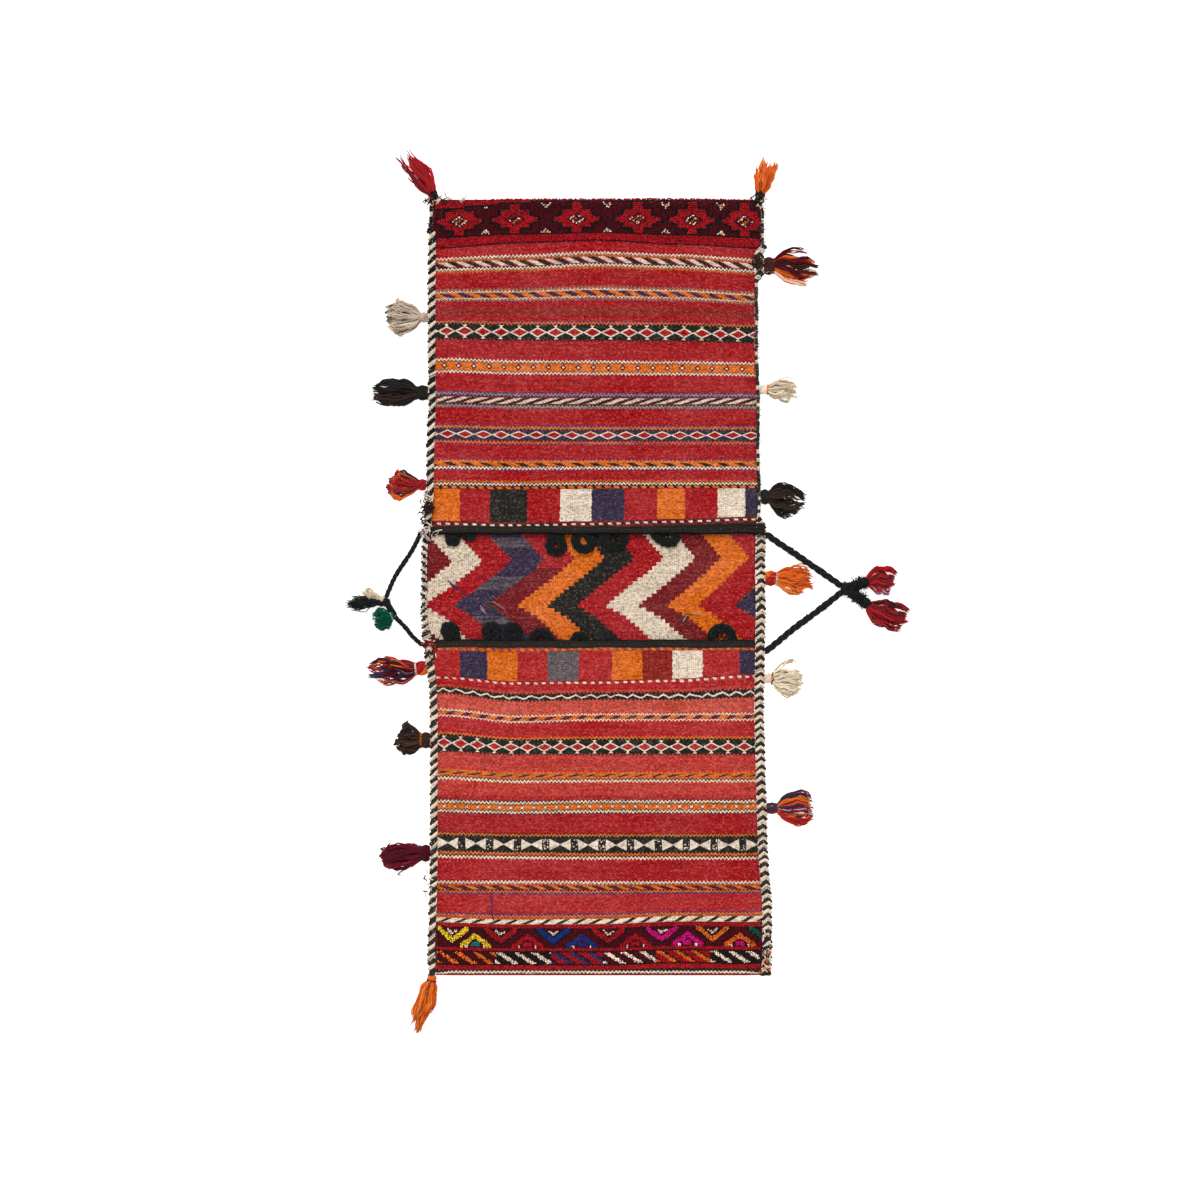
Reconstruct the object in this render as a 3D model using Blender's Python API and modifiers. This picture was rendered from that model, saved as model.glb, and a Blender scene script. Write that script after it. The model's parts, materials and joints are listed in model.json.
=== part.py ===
"""Kilim saddle bag: one long woven strip folded at both ends into two flat pouches.

The bag lies flat on its back. +X runs across the cloth, +Y along its length and +Z up. The
origin is the middle of the bag's underside. The two pouch mouths face each other across the
plain bridge that would lie over the animal's back. Both long sides are overcast with a roll of
yarn, both mouths are edged with a dark band, black braided loops stand at the mouths to close
them, a pair of ropes leaves each side of the bridge, and wool tassels hang from the sides.
"""

import math

import bmesh
import bpy
from mathutils import Vector

# Driving dimensions in metres
BODY_LENGTH = 1.200
CLOTH_WIDTH = 0.495
CLOTH_THICKNESS = 0.0035
PILE_THICKNESS = 0.0065
RIB_THICKNESS = 0.0043
CLEARANCE = 0.0003

# Pouches: depth from the fold to the mouth, the hollow's height, and how it closes at a side
UPPER_POUCH_DEPTH = 0.5157
LOWER_POUCH_DEPTH = 0.5173
POUCH_HOLLOW = 0.009
SEAM_HOLLOW = 0.0006
SEAM_ALLOWANCE = 0.003
SEAM_RUN = 0.024

# Woven relief of the pouch fronts, measured from each fold towards the mouth
UPPER_PILE_DEPTH = 0.0655
LOWER_PILE_DEPTH = 0.0780
RIB_SLOPE = 0.0015
UPPER_RIBS = (
    (0.081, 0.022), (0.131, 0.022), (0.186, 0.029), (0.248, 0.019),
    (0.298, 0.022), (0.347, 0.028), (0.401, 0.016), (0.434, 0.012),
)
LOWER_RIBS = (
    (0.084, 0.015), (0.128, 0.019), (0.182, 0.039), (0.251, 0.022),
    (0.301, 0.014), (0.344, 0.025), (0.395, 0.010), (0.428, 0.010),
)
SQUARES_DEPTH = 0.050

# How the cloth's own edges wander: place as a share of half the length, then the left and
# the right edge's step outward from half the cloth's width
EDGE_STATIONS = (
    (1.00, -0.0010, -0.0050), (0.87, 0.0015, -0.0050), (0.77, 0.0020, -0.0040),
    (0.61, 0.0020, -0.0040), (0.48, 0.0015, -0.0010), (0.35, 0.0040, -0.0020),
    (0.225, 0.0050, 0.0010), (0.145, 0.0100, -0.0020), (0.07, 0.0120, -0.0030),
    (-0.06, 0.0125, -0.0020), (-0.14, 0.0090, -0.0030), (-0.235, 0.0010, -0.0040),
    (-0.32, -0.0015, -0.0050), (-0.52, -0.0015, -0.0015), (-0.68, -0.0015, 0.0010),
    (-0.81, 0.0000, 0.0075), (-0.93, 0.0030, 0.0080), (-1.00, 0.0010, 0.0060),
)

# Side bindings: an overcast roll outside each edge of the cloth
LEFT_BINDING_WIDTH = 0.012
RIGHT_BINDING_WIDTH = 0.015
TUCKED_BINDING_WIDTH = 0.005
BINDING_HEIGHT = 0.0085
BINDING_STITCH = 0.025
BINDING_GROOVE = 0.0006
BINDING_SIDES = 8
TUCKED_FROM = 0.150
TUCKED_TO = 0.810
TUCKED_BLEND = 0.030

# Mouth bindings
MOUTH_BINDING_WIDTH = 0.0105
MOUTH_BINDING_THICKNESS = 0.0045
MOUTH_BINDING_BEVEL = 0.0012

# Closure loops: a flat braid, its width, thickness and how far its legs reach under the band
BRAID_WIDTH = 0.011
BRAID_THICKNESS = 0.0065
LOOP_ROOT_DEPTH = 0.008
LEG_GAP = 0.0014
LOOP_POINT_SPACING = 0.007

# Each loop: place across as a share of half the cloth's width, outer width, reach past the
# mouth, and sideways lean of its tip
UPPER_LOOPS = (
    (-0.900, 0.024, 0.021, 0.000),
    (-0.798, 0.024, 0.013, 0.000),
    (-0.256, 0.034, 0.036, 0.000),
    (-0.094, 0.038, 0.032, 0.004),
    (0.103, 0.046, 0.028, 0.002),
    (0.419, 0.046, 0.022, 0.008),
)
LOWER_LOOPS = (
    (-0.900, 0.030, 0.030, -0.006),
    (-0.659, 0.031, 0.030, 0.000),
    (-0.528, 0.031, 0.029, 0.000),
    (-0.350, 0.040, 0.020, 0.000),
    (-0.106, 0.032, 0.015, 0.000),
    (0.078, 0.030, 0.008, 0.000),
    (0.778, 0.046, 0.027, 0.000),
)

# Ropes: each leaves a side binding beside a mouth and runs to the knot of its side
LEFT_ROPE_DIAMETER = 0.0066
RIGHT_ROPE_DIAMETER = 0.0095
ROPE_POINT_SPACING = 0.014
ROPE_LEAD = 0.007
LEFT_KNOT_REACH = 0.0535
LEFT_KNOT_Y = -0.0225
LEFT_KNOT_RADIUS = 0.0070
LEFT_WRAP_RADIUS = 0.0054
LEFT_WRAP_LENGTH = 0.019
LEFT_WRAP_TURN = math.radians(-58.0)
LEFT_UPPER_ARRIVAL = math.radians(84.0)
RIGHT_KNOT_REACH = 0.1240
RIGHT_KNOT_Y = -0.0020
RIGHT_KNOT_RADIUS = 0.0093

# A rope's own bends: share of the way along, and the step to the left of its straight line
RIGHT_UPPER_BENDS = ((0.18, 0.0010), (0.40, 0.0012), (0.65, 0.0008))
RIGHT_LOWER_BENDS = ((0.18, -0.0010), (0.40, 0.0002), (0.65, -0.0006))
LEFT_UPPER_BENDS = ((0.25, -0.0010), (0.45, 0.0030), (0.65, 0.0040))
LEFT_LOWER_BENDS = ((0.35, 0.0030), (0.60, 0.0010))

# Tassels
TASSEL_SIDES = 10
TASSEL_FLUTE = 0.14
TASSEL_ROOT_RADIUS = 0.0030
TASSEL_HEAD_RADIUS = 0.0062
TASSEL_NECK_RADIUS = 0.0042
TASSEL_HALF_HEIGHT = 0.0090
TIE_WIRE_RADIUS = 0.0012
TIE_BAND = 0.0016

# Each side tassel: side, place as a share of half the length, reach outward, drift along +Y,
# width of its skirt, share of its length that the head takes
SIDE_TASSELS = {
    "tassel_grey": ("left", 0.702, 0.062, 0.001, 0.046, 0.22),
    "tassel_black_left": ("left", 0.501, 0.082, -0.001, 0.054, 0.24),
    "tassel_mixed_upper_left": ("left", 0.264, 0.054, 0.004, 0.044, 0.24),
    "tassel_mixed_lower_left": ("left", -0.218, 0.084, -0.004, 0.050, 0.22),
    "tassel_brown": ("left", -0.393, 0.050, -0.001, 0.050, 0.30),
    "tassel_maroon": ("left", -0.684, 0.070, -0.006, 0.050, 0.22),
    "tassel_mixed_upper_right": ("right", 0.835, 0.082, 0.004, 0.056, 0.22),
    "tassel_cream_upper": ("right", 0.509, 0.054, -0.001, 0.040, 0.26),
    "tassel_black_right": ("right", 0.233, 0.064, -0.006, 0.060, 0.22),
    "tassel_orange_right": ("right", 0.024, 0.068, -0.007, 0.050, 0.28),
    "tassel_cream_lower": ("right", -0.233, 0.056, -0.004, 0.056, 0.24),
    "tassel_mixed_lower_right": ("right", -0.568, 0.070, -0.002, 0.060, 0.28),
}
CORNER_TASSELS = {
    "tassel_red_corner": ("left", 1.0, -0.034, 0.060, 0.030, 0.24),
    "tassel_orange_corner_top": ("right", 1.0, 0.008, 0.058, 0.030, 0.30),
    "tassel_orange_corner_bottom": ("left", -1.0, -0.022, 0.074, 0.036, 0.22),
}
TIED_TASSELS = {
    "tassel_red_corner": "black",
    "tassel_orange_corner_top": "black",
    "tassel_orange_corner_bottom": "navy",
    "tassel_mixed_lower_left": "cream",
    "tassel_brown": "orange",
    "tassel_maroon": "black",
    "tassel_cream_upper": "orange",
    "tassel_orange_right": "cream",
    "tassel_cream_lower": "red",
    "tassel_mixed_lower_right": "orange",
}
TASSEL_COLOURS = {
    "tassel_grey": "grey",
    "tassel_black_left": "black",
    "tassel_mixed_upper_left": "orange",
    "tassel_mixed_lower_left": "red",
    "tassel_brown": "brown",
    "tassel_maroon": "maroon",
    "tassel_mixed_upper_right": "maroon",
    "tassel_cream_upper": "cream",
    "tassel_black_right": "black",
    "tassel_orange_right": "orange",
    "tassel_cream_lower": "cream",
    "tassel_mixed_lower_right": "orange",
    "tassel_red_corner": "red",
    "tassel_orange_corner_top": "orange",
    "tassel_orange_corner_bottom": "orange",
}
EDGE_TUFT_PLACE = 0.205
EDGE_TUFT_RADIUS = 0.0085
EDGE_TUFT_HEIGHT = 0.0095

# Pieces on the ropes
ROPE_TASSEL_NECK_LENGTH = 0.024
ROPE_TASSEL_NECK_RADIUS = 0.0082
ROPE_TASSEL_SKIRT_WIDTH = 0.036
UPPER_ROPE_TASSEL = (math.radians(40.0), 0.046, -0.010)
LOWER_ROPE_TASSEL = (math.radians(-38.0), 0.058, 0.014)
ROPE_END_RADIUS = 0.0026
ROPE_END_BLACK = (math.radians(188.0), 0.050, 0.018)
ROPE_END_CREAM = (math.radians(142.0), 0.036, 0.020)
GREEN_TUFT_PLACE = 0.8
GREEN_TUFT_WIDTH = 0.030
GREEN_TUFT_LENGTH = 0.034
GREEN_TUFT_TURN = math.radians(216.0)

COLOURS = {
    "field_red": (0.31, 0.022, 0.022, 1.0),
    "binding": (0.30, 0.25, 0.20, 1.0),
    "dark_brown": (0.022, 0.017, 0.014, 1.0),
    "black": (0.012, 0.011, 0.011, 1.0),
    "red": (0.35, 0.016, 0.02, 1.0),
    "maroon": (0.11, 0.008, 0.02, 1.0),
    "orange": (0.62, 0.14, 0.015, 1.0),
    "grey": (0.33, 0.29, 0.25, 1.0),
    "cream": (0.62, 0.52, 0.40, 1.0),
    "brown": (0.03, 0.02, 0.014, 1.0),
    "navy": (0.035, 0.025, 0.07, 1.0),
    "green": (0.004, 0.075, 0.035, 1.0),
}
WOOL_ROUGHNESS = 0.92

# Two rows of a mesh nearer than this become one
ROW_MERGE = 0.002

HALF_LENGTH = BODY_LENGTH / 2
HALF_WIDTH = CLOTH_WIDTH / 2
UPPER_MOUTH_Y = HALF_LENGTH - UPPER_POUCH_DEPTH
LOWER_MOUTH_Y = LOWER_POUCH_DEPTH - HALF_LENGTH
BINDING_MID_Z = BINDING_HEIGHT / 2 + CLEARANCE


def clear_scene():
    """Remove every object so that the file builds the same model each time."""
    for old in list(bpy.data.objects):
        bpy.data.objects.remove(old, do_unlink=True)


def wool(name, colour):
    """Give an object's own woollen material."""
    material = bpy.data.materials.new(name + "_wool")
    material.use_nodes = True
    surface = material.node_tree.nodes["Principled BSDF"]
    surface.inputs["Base Color"].default_value = COLOURS[colour]
    surface.inputs["Roughness"].default_value = WOOL_ROUGHNESS
    surface.inputs["Metallic"].default_value = 0.0
    return material


def put(name, data, colour):
    """Add an object with its material to the bag's collection."""
    piece = bpy.data.objects.new(name, data)
    data.materials.append(wool(name, colour))
    BAG.objects.link(piece)
    return piece


def smooth(share):
    """Ease a share from 0 to 1 with level ends."""
    share = min(1.0, max(0.0, share))
    return share * share * (3.0 - 2.0 * share)


def edge_step(y, column):
    """How far the cloth's edge stands outside half its width, in straight runs."""
    place = min(1.0, max(-1.0, y / HALF_LENGTH))
    for upper, lower in zip(EDGE_STATIONS, EDGE_STATIONS[1:]):
        if place >= lower[0]:
            share = (place - lower[0]) / (upper[0] - lower[0])
            return lower[column] + share * (upper[column] - lower[column])
    return EDGE_STATIONS[-1][column]


def edge_corners():
    """Y of each place where the edges change direction, so that neighbours share them."""
    return [station[0] * HALF_LENGTH for station in EDGE_STATIONS]


def left_edge(y):
    """X of the cloth's left edge."""
    return -HALF_WIDTH - edge_step(y, 1)


def right_edge(y):
    """X of the cloth's right edge."""
    return HALF_WIDTH + edge_step(y, 2)


def left_binding_width(y):
    """The left binding has one width from end to end."""
    return LEFT_BINDING_WIDTH


def right_binding_width(y):
    """The right binding is tucked behind the cloth along most of the upper pouch."""
    place = y / HALF_LENGTH
    tucked = smooth((place - TUCKED_FROM) / TUCKED_BLEND) * smooth((TUCKED_TO - place) / TUCKED_BLEND)
    return RIGHT_BINDING_WIDTH + tucked * (TUCKED_BINDING_WIDTH - RIGHT_BINDING_WIDTH)


def binding_outside(side, y):
    """X of a side binding's outer face."""
    if side == "left":
        return left_edge(y) - CLEARANCE - left_binding_width(y)
    return right_edge(y) + CLEARANCE + right_binding_width(y)


def binding_exit(side, y, z):
    """Where a rope or tassel leaves a side binding, and the level way square out of it there."""
    step = ROW_MERGE
    face = binding_outside(side, y + step) - binding_outside(side, y - step)
    turn = -1.0 if side == "left" else 1.0
    outward = Vector((turn * 2 * step, -turn * face, 0.0)).normalized()
    return Vector((binding_outside(side, y), y, z)) + outward * CLEARANCE, outward


def across(y, share):
    """X of a place across the cloth, from 0 at its left edge to 1 at its right edge."""
    return left_edge(y) + share * (right_edge(y) - left_edge(y))


def hollow_height(share):
    """Height of the pouch's hollow, which closes towards both side seams."""
    inset = min(share, 1.0 - share) * CLOTH_WIDTH - SEAM_ALLOWANCE
    return SEAM_HOLLOW + (POUCH_HOLLOW - SEAM_HOLLOW) * smooth(inset / SEAM_RUN)


def ribs_of(ribs, depth):
    """Keep the ribs that fit between the fold and the band of squares at the mouth."""
    room = depth - MOUTH_BINDING_WIDTH - SQUARES_DEPTH - RIB_SLOPE
    return [rib for rib in ribs if rib[0] + rib[1] + RIB_SLOPE < room]


def front_rows(depth, pile_depth, ribs):
    """Rows of a pouch's front from its mouth to its fold: distance from the fold, thickness."""
    rows = [(depth - MOUTH_BINDING_WIDTH - CLEARANCE, CLOTH_THICKNESS)]
    squares = depth - MOUTH_BINDING_WIDTH - SQUARES_DEPTH
    rows.append((squares + RIB_SLOPE, CLOTH_THICKNESS))
    for start, height in reversed(ribs_of(ribs, depth)):
        rows.append((start + height + RIB_SLOPE, CLOTH_THICKNESS))
        rows.append((start + height, RIB_THICKNESS))
        rows.append((start, RIB_THICKNESS))
        rows.append((start - RIB_SLOPE, CLOTH_THICKNESS))
    rows.append((pile_depth + RIB_SLOPE, CLOTH_THICKNESS))
    rows.append((pile_depth, PILE_THICKNESS))
    rows.append((pile_depth / 2, PILE_THICKNESS))
    rows = [row for row in rows if row[0] >= pile_depth / 2]
    return rows


def strip_rows():
    """Rows along the whole strip, from the upper mouth round both folds to the lower mouth."""
    fold_inset = PILE_THICKNESS + POUCH_HOLLOW / 2
    arc = [math.radians(angle) for angle in (90, 60, 30, 0, -30, -60, -90)]
    rows = []
    for distance, thickness in front_rows(UPPER_POUCH_DEPTH, UPPER_PILE_DEPTH, UPPER_RIBS):
        rows.append(("front", HALF_LENGTH - distance, thickness))
    for angle in arc:
        thickness = PILE_THICKNESS if angle >= 0 else CLOTH_THICKNESS
        rows.append(("upper fold", angle, thickness))
    back_count = 15
    back_start = HALF_LENGTH - fold_inset
    for index in range(1, back_count):
        rows.append(("back", back_start * (1.0 - 2.0 * index / back_count), CLOTH_THICKNESS))
    for angle in arc[::-1]:
        thickness = PILE_THICKNESS if angle >= 0 else CLOTH_THICKNESS
        rows.append(("lower fold", angle, thickness))
    for distance, thickness in reversed(front_rows(LOWER_POUCH_DEPTH, LOWER_PILE_DEPTH, LOWER_RIBS)):
        rows.append(("front", distance - HALF_LENGTH, thickness))
    return with_edge_corners(rows)


def with_edge_corners(rows):
    """Add a row wherever the cloth's edges change direction between two rows of a layer."""
    result = [rows[0]]
    for before, after in zip(rows, rows[1:]):
        if before[0] == after[0] and not before[0].endswith("fold"):
            low, high = sorted((before[1], after[1]))
            corners = [y for y in edge_corners() if low + ROW_MERGE < y < high - ROW_MERGE]
            corners.sort(reverse=after[1] < before[1])
            for y in corners:
                share = (y - before[1]) / (after[1] - before[1])
                result.append((before[0], y, before[2] + share * (after[2] - before[2])))
        result.append(after)
    return result


def column_shares():
    """Places of the columns across the cloth, closer together beside the seams."""
    seam = (0.0, SEAM_ALLOWANCE, SEAM_ALLOWANCE + 0.33 * SEAM_RUN,
            SEAM_ALLOWANCE + 0.67 * SEAM_RUN, SEAM_ALLOWANCE + SEAM_RUN)
    shares = [inset / CLOTH_WIDTH for inset in seam]
    middle_cells = 4
    open_share = 1.0 - 2.0 * shares[-1]
    inner = [shares[-1] + open_share * index / middle_cells for index in range(1, middle_cells)]
    return shares + inner + [1.0 - share for share in reversed(shares)]


def inner_point(row, share):
    """A point of the strip's inner face."""
    layer, place, thickness = row
    if layer == "front":
        return Vector((across(place, share), place, CLOTH_THICKNESS + hollow_height(share)))
    if layer == "back":
        return Vector((across(place, share), place, CLOTH_THICKNESS))
    sign = 1.0 if layer == "upper fold" else -1.0
    radius = hollow_height(share) / 2
    y = sign * (HALF_LENGTH - PILE_THICKNESS - radius + radius * math.cos(place))
    return Vector((across(y, share), y, CLOTH_THICKNESS + radius + radius * math.sin(place)))


def build_cloth():
    """Fold the woven strip from a flat grid and give it its thickness."""
    rows = strip_rows()
    shares = column_shares()
    mesh = bpy.data.meshes.new("kilim_cloth")
    sheet = bmesh.new()
    bmesh.ops.create_grid(sheet, x_segments=len(shares) - 1, y_segments=len(rows) - 1, size=1.0)
    sheet.verts.ensure_lookup_table()
    group_layer = sheet.verts.layers.deform.verify()
    for vert in sheet.verts:
        column = round((vert.co.x + 1.0) / 2.0 * (len(shares) - 1))
        index = round((vert.co.y + 1.0) / 2.0 * (len(rows) - 1))
        row = rows[index]
        vert.co = inner_point(row, shares[column])
        raised = (row[2] - CLOTH_THICKNESS) / (PILE_THICKNESS - CLOTH_THICKNESS)
        vert[group_layer][0] = raised
    sheet.normal_update()
    sheet.to_mesh(mesh)
    sheet.free()
    cloth = put("kilim_cloth", mesh, "field_red")
    group = cloth.vertex_groups.new(name="raised_weave")
    wall = cloth.modifiers.new("wall", "SOLIDIFY")
    wall.thickness = PILE_THICKNESS
    wall.offset = 1.0
    wall.vertex_group = group.name
    wall.thickness_vertex_group = CLOTH_THICKNESS / PILE_THICKNESS
    return cloth


def loft(name, rings, colour):
    """Skin a closed form through rings of equal point counts and cap both ends."""
    around = len(rings[0])
    mesh = bpy.data.meshes.new(name)
    skin = bmesh.new()
    bmesh.ops.create_grid(skin, x_segments=around, y_segments=len(rings) - 1, size=1.0)
    for vert in skin.verts:
        side = round((vert.co.x + 1.0) / 2.0 * around) % around
        ring = round((vert.co.y + 1.0) / 2.0 * (len(rings) - 1))
        vert.co = rings[ring][side]
    bmesh.ops.remove_doubles(skin, verts=skin.verts, dist=0.00001)
    open_edges = [edge for edge in skin.edges if edge.is_boundary]
    bmesh.ops.holes_fill(skin, edges=open_edges, sides=0)
    bmesh.ops.recalc_face_normals(skin, faces=skin.faces)
    skin.to_mesh(mesh)
    skin.free()
    return put(name, mesh, colour)


def ellipse(centre, aside, up, half_width, half_height, sides, flute=0.0):
    """A ring of points round a centre, with every other point drawn in by the flute."""
    points = []
    for index in range(sides):
        angle = 2.0 * math.pi * (index + 0.5) / sides
        scale = 1.0 - flute * (index % 2)
        step = aside * (half_width * scale * math.cos(angle))
        points.append(centre + step + up * (half_height * scale * math.sin(angle)))
    return points


def groove_share(y):
    """1 in the groove between two bundles of stitches, 0 on a bundle's crown."""
    turn = ((HALF_LENGTH - y) / BINDING_STITCH) % 1.0
    return 1.0 - abs(2.0 * turn - 1.0)


def binding_places():
    """Places of a binding's rings: crowns and grooves, and the edge's changes of direction."""
    corners = edge_corners()
    count = round(2 * BODY_LENGTH / BINDING_STITCH)
    even = [HALF_LENGTH - BODY_LENGTH * index / count for index in range(1, count)]
    clear = [y for y in even if min(abs(y - corner) for corner in corners) > ROW_MERGE]
    return sorted(clear + corners, reverse=True)


def build_side_binding(side):
    """Roll of overcast yarn along one side, with a groove between bundles of stitches."""
    rings = []
    for y in binding_places():
        drawn_in = BINDING_GROOVE * groove_share(y)
        if side == "left":
            inside = left_edge(y) - CLEARANCE
            width = left_binding_width(y)
        else:
            inside = right_edge(y) + CLEARANCE
            width = right_binding_width(y)
        middle = (inside + binding_outside(side, y)) / 2
        centre = Vector((middle, y, BINDING_MID_Z))
        flats = math.cos(math.pi / BINDING_SIDES)
        rings.append(ellipse(centre, Vector((1, 0, 0)), Vector((0, 0, 1)), (width / 2 - drawn_in) / flats,
                             (BINDING_HEIGHT / 2 - drawn_in) / flats, BINDING_SIDES))
    return loft("side_binding_" + side, rings, "binding")


def build_mouth_binding(name, mouth_y, inward):
    """Dark band that closes the cloth's raw edge at a pouch mouth."""
    shares = column_shares()
    mesh = bpy.data.meshes.new(name)
    band = bmesh.new()
    bmesh.ops.create_grid(band, x_segments=len(shares) - 1, y_segments=1, size=1.0)
    for vert in band.verts:
        column = round((vert.co.x + 1.0) / 2.0 * (len(shares) - 1))
        low = min(mouth_y, mouth_y + inward * MOUTH_BINDING_WIDTH)
        y = low + MOUTH_BINDING_WIDTH * (vert.co.y + 1.0) / 2.0
        height = CLOTH_THICKNESS + hollow_height(shares[column])
        vert.co = Vector((across(y, shares[column]), y, height))
    band.normal_update()
    band.to_mesh(mesh)
    band.free()
    piece = put(name, mesh, "dark_brown")
    wall = piece.modifiers.new("wall", "SOLIDIFY")
    wall.thickness = MOUTH_BINDING_THICKNESS
    wall.offset = 1.0
    edge = piece.modifiers.new("rounded_edges", "BEVEL")
    edge.width = MOUTH_BINDING_BEVEL
    edge.segments = 1
    edge.limit_method = "ANGLE"
    edge.angle_limit = math.radians(60.0)
    return piece


def tube(name, points, radius, colour):
    """A round cord through the given points."""
    data = bpy.data.curves.new(name, "CURVE")
    data.dimensions = "3D"
    line = data.splines.new("POLY")
    line.points.add(len(points) - 1)
    for target, point in zip(line.points, points):
        target.co = (point[0], point[1], point[2], 1.0)
    data.bevel_depth = radius
    data.bevel_resolution = 2
    data.use_fill_caps = True
    data.render_resolution_u = 0
    return put(name, data, colour)


def resample(points, spacing):
    """Straight first and last runs, and between them even points of a smooth curve."""
    fine = []
    steps = 24
    for before, start, stop, after in zip(points, points[1:], points[2:], points[3:]):
        for index in range(steps):
            t = index / steps
            fine.append(0.5 * (2 * start + (stop - before) * t
                               + (2 * before - 5 * start + 4 * stop - after) * t ** 2
                               + (3 * start - before - 3 * stop + after) * t ** 3))
    fine.append(points[-2].copy())
    total = sum((b - a).length for a, b in zip(fine, fine[1:]))
    count = max(4, round(total / spacing))
    result = [points[0], fine[0]]
    walked = 0.0
    for a, b in zip(fine, fine[1:]):
        walked += (b - a).length
        if walked >= total * (len(result) - 1) / count and len(result) <= count:
            result.append(b)
    return result + [fine[-1], points[-1]]


def loop_outline(outer_width, reach, lean):
    """Centre line of one closure loop as steps across and out of its mouth."""
    half = outer_width / 2 - BRAID_WIDTH / 2
    tip = reach - BRAID_WIDTH / 2
    depth = min(half, (tip + LOOP_ROOT_DEPTH) * 0.75)
    centre = tip - depth
    leg = (BRAID_WIDTH + LEG_GAP) / 2
    by_leg = math.pi - math.asin(min(1.0, leg / half))
    by_root = math.acos(max(-1.0, (-LOOP_ROOT_DEPTH - centre) / depth))
    opening = min(by_leg, by_root)
    count = max(5, round(2 * opening * half / LOOP_POINT_SPACING))
    line = []
    for index in range(count + 1):
        angle = -opening + 2 * opening * index / count
        line.append((half * math.sin(angle), centre + depth * math.cos(angle)))
    if by_leg < by_root:
        line.insert(0, (line[0][0], -LOOP_ROOT_DEPTH))
        line.append((line[-1][0], -LOOP_ROOT_DEPTH))
    return [(sideways + lean * out / tip, out) for sideways, out in line]


def build_closure_loop(name, spec, mouth_y, outward):
    """A flat black braid looped out from under a mouth band and lying on the bridge."""
    place, outer_width, reach, lean = spec
    flat = BRAID_THICKNESS / BRAID_WIDTH
    points = []
    for sideways, out in loop_outline(outer_width, reach, lean):
        points.append((place * HALF_WIDTH + sideways, mouth_y + outward * out, 0.0))
    loop = tube(name, points, BRAID_WIDTH / 2, "black")
    loop.scale = (1.0, 1.0, flat)
    loop.location.z = CLOTH_THICKNESS + CLEARANCE + BRAID_THICKNESS / 2
    return loop


def rope_route(start, outward, goal, approach, bends):
    """Points straight out of the binding, along the rope's bends and straight into the knot."""
    along = goal - start
    aside = Vector((-along.y, along.x, 0.0)).normalized()
    points = [start, start + outward * ROPE_LEAD]
    for share, step in bends:
        point = start + along * share + aside * step
        point.z = start.z + (goal.z - start.z) * share ** 6
        points.append(point)
    points.extend([goal + approach * ROPE_LEAD, goal])
    return resample(points, ROPE_POINT_SPACING)


def build_knot(name, centre, radius, colour):
    """A lumpy round knot whose bulges all reach the same radius."""
    rings = []
    count = 7
    for index in range(count):
        lift = -1.0 + 2.0 * (index + 0.5) / count
        ring_radius = radius * math.sqrt(1.0 - lift * lift)
        middle = centre + Vector((0, 0, radius * lift))
        rings.append(ellipse(middle, Vector((1, 0, 0)), Vector((0, 1, 0)), ring_radius,
                             ring_radius, 14, 0.05))
    return loft(name, rings, colour)


def barrel(name, start, direction, length, radius, colour, half_height=None):
    """A short wrapped sleeve between two pieces, with rounded ends."""
    half_height = half_height or radius
    aside = Vector((-direction.y, direction.x, 0.0)).normalized()
    rings = []
    for share, size in ((0.0, 0.72), (0.12, 0.95), (0.36, 1.0), (0.64, 1.0), (0.88, 0.95), (1.0, 0.72)):
        centre = start + direction * (length * share)
        rings.append(ellipse(centre, aside, Vector((0, 0, 1)), radius * size,
                             half_height * size, 12, 0.04))
    return loft(name, rings, colour)


def tassel_path(root, outward, reach, share):
    """A point and a level heading on the tassel's axis."""
    bend = root + outward * (reach.length * 0.45)
    tip = root + reach
    point = root.lerp(bend, share).lerp(bend.lerp(tip, share), share)
    heading = (bend - root).lerp(tip - bend, share)
    heading.z = 0.0
    return point, heading.normalized()


def build_tassel(name, root, outward, reach, width, head_share, colour,
                 head=TASSEL_HEAD_RADIUS, neck=TASSEL_NECK_RADIUS):
    """A wool tassel lying down: root, head, tied neck and a fluted skirt that fans out."""
    length = reach.length
    band = TIE_BAND / length
    skirt = width / 2
    tall = TASSEL_HALF_HEIGHT
    tie_reach = neck + CLEARANCE + 2 * TIE_WIRE_RADIUS
    stations = (
        (0.0, min(TASSEL_ROOT_RADIUS, head), min(TASSEL_ROOT_RADIUS, head), root.z),
        (head_share * 0.45, head, head, max(head, root.z * 0.6)),
        (head_share - band, neck, neck, tie_reach),
        (head_share + band, neck, neck, tie_reach),
        (head_share + 0.16, skirt * 0.62, tall * 0.85, tall * 0.85),
        (0.66, skirt, tall, tall),
        (0.86, skirt * 0.94, tall * 0.80, tall * 0.80),
        (1.0, skirt * 0.66, tall * 0.45, tall * 0.45),
    )
    rings = []
    for share, half_width, half_height, height in stations:
        centre, heading = tassel_path(root, outward, reach, share)
        centre.z = height if share == 0.0 else height + CLEARANCE
        aside = Vector((-heading.y, heading.x, 0.0))
        flute = TASSEL_FLUTE if share > head_share + band else 0.0
        rings.append(ellipse(centre, aside, Vector((0, 0, 1)), half_width, half_height,
                             TASSEL_SIDES, flute))
    return loft(name, rings, colour)


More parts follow.
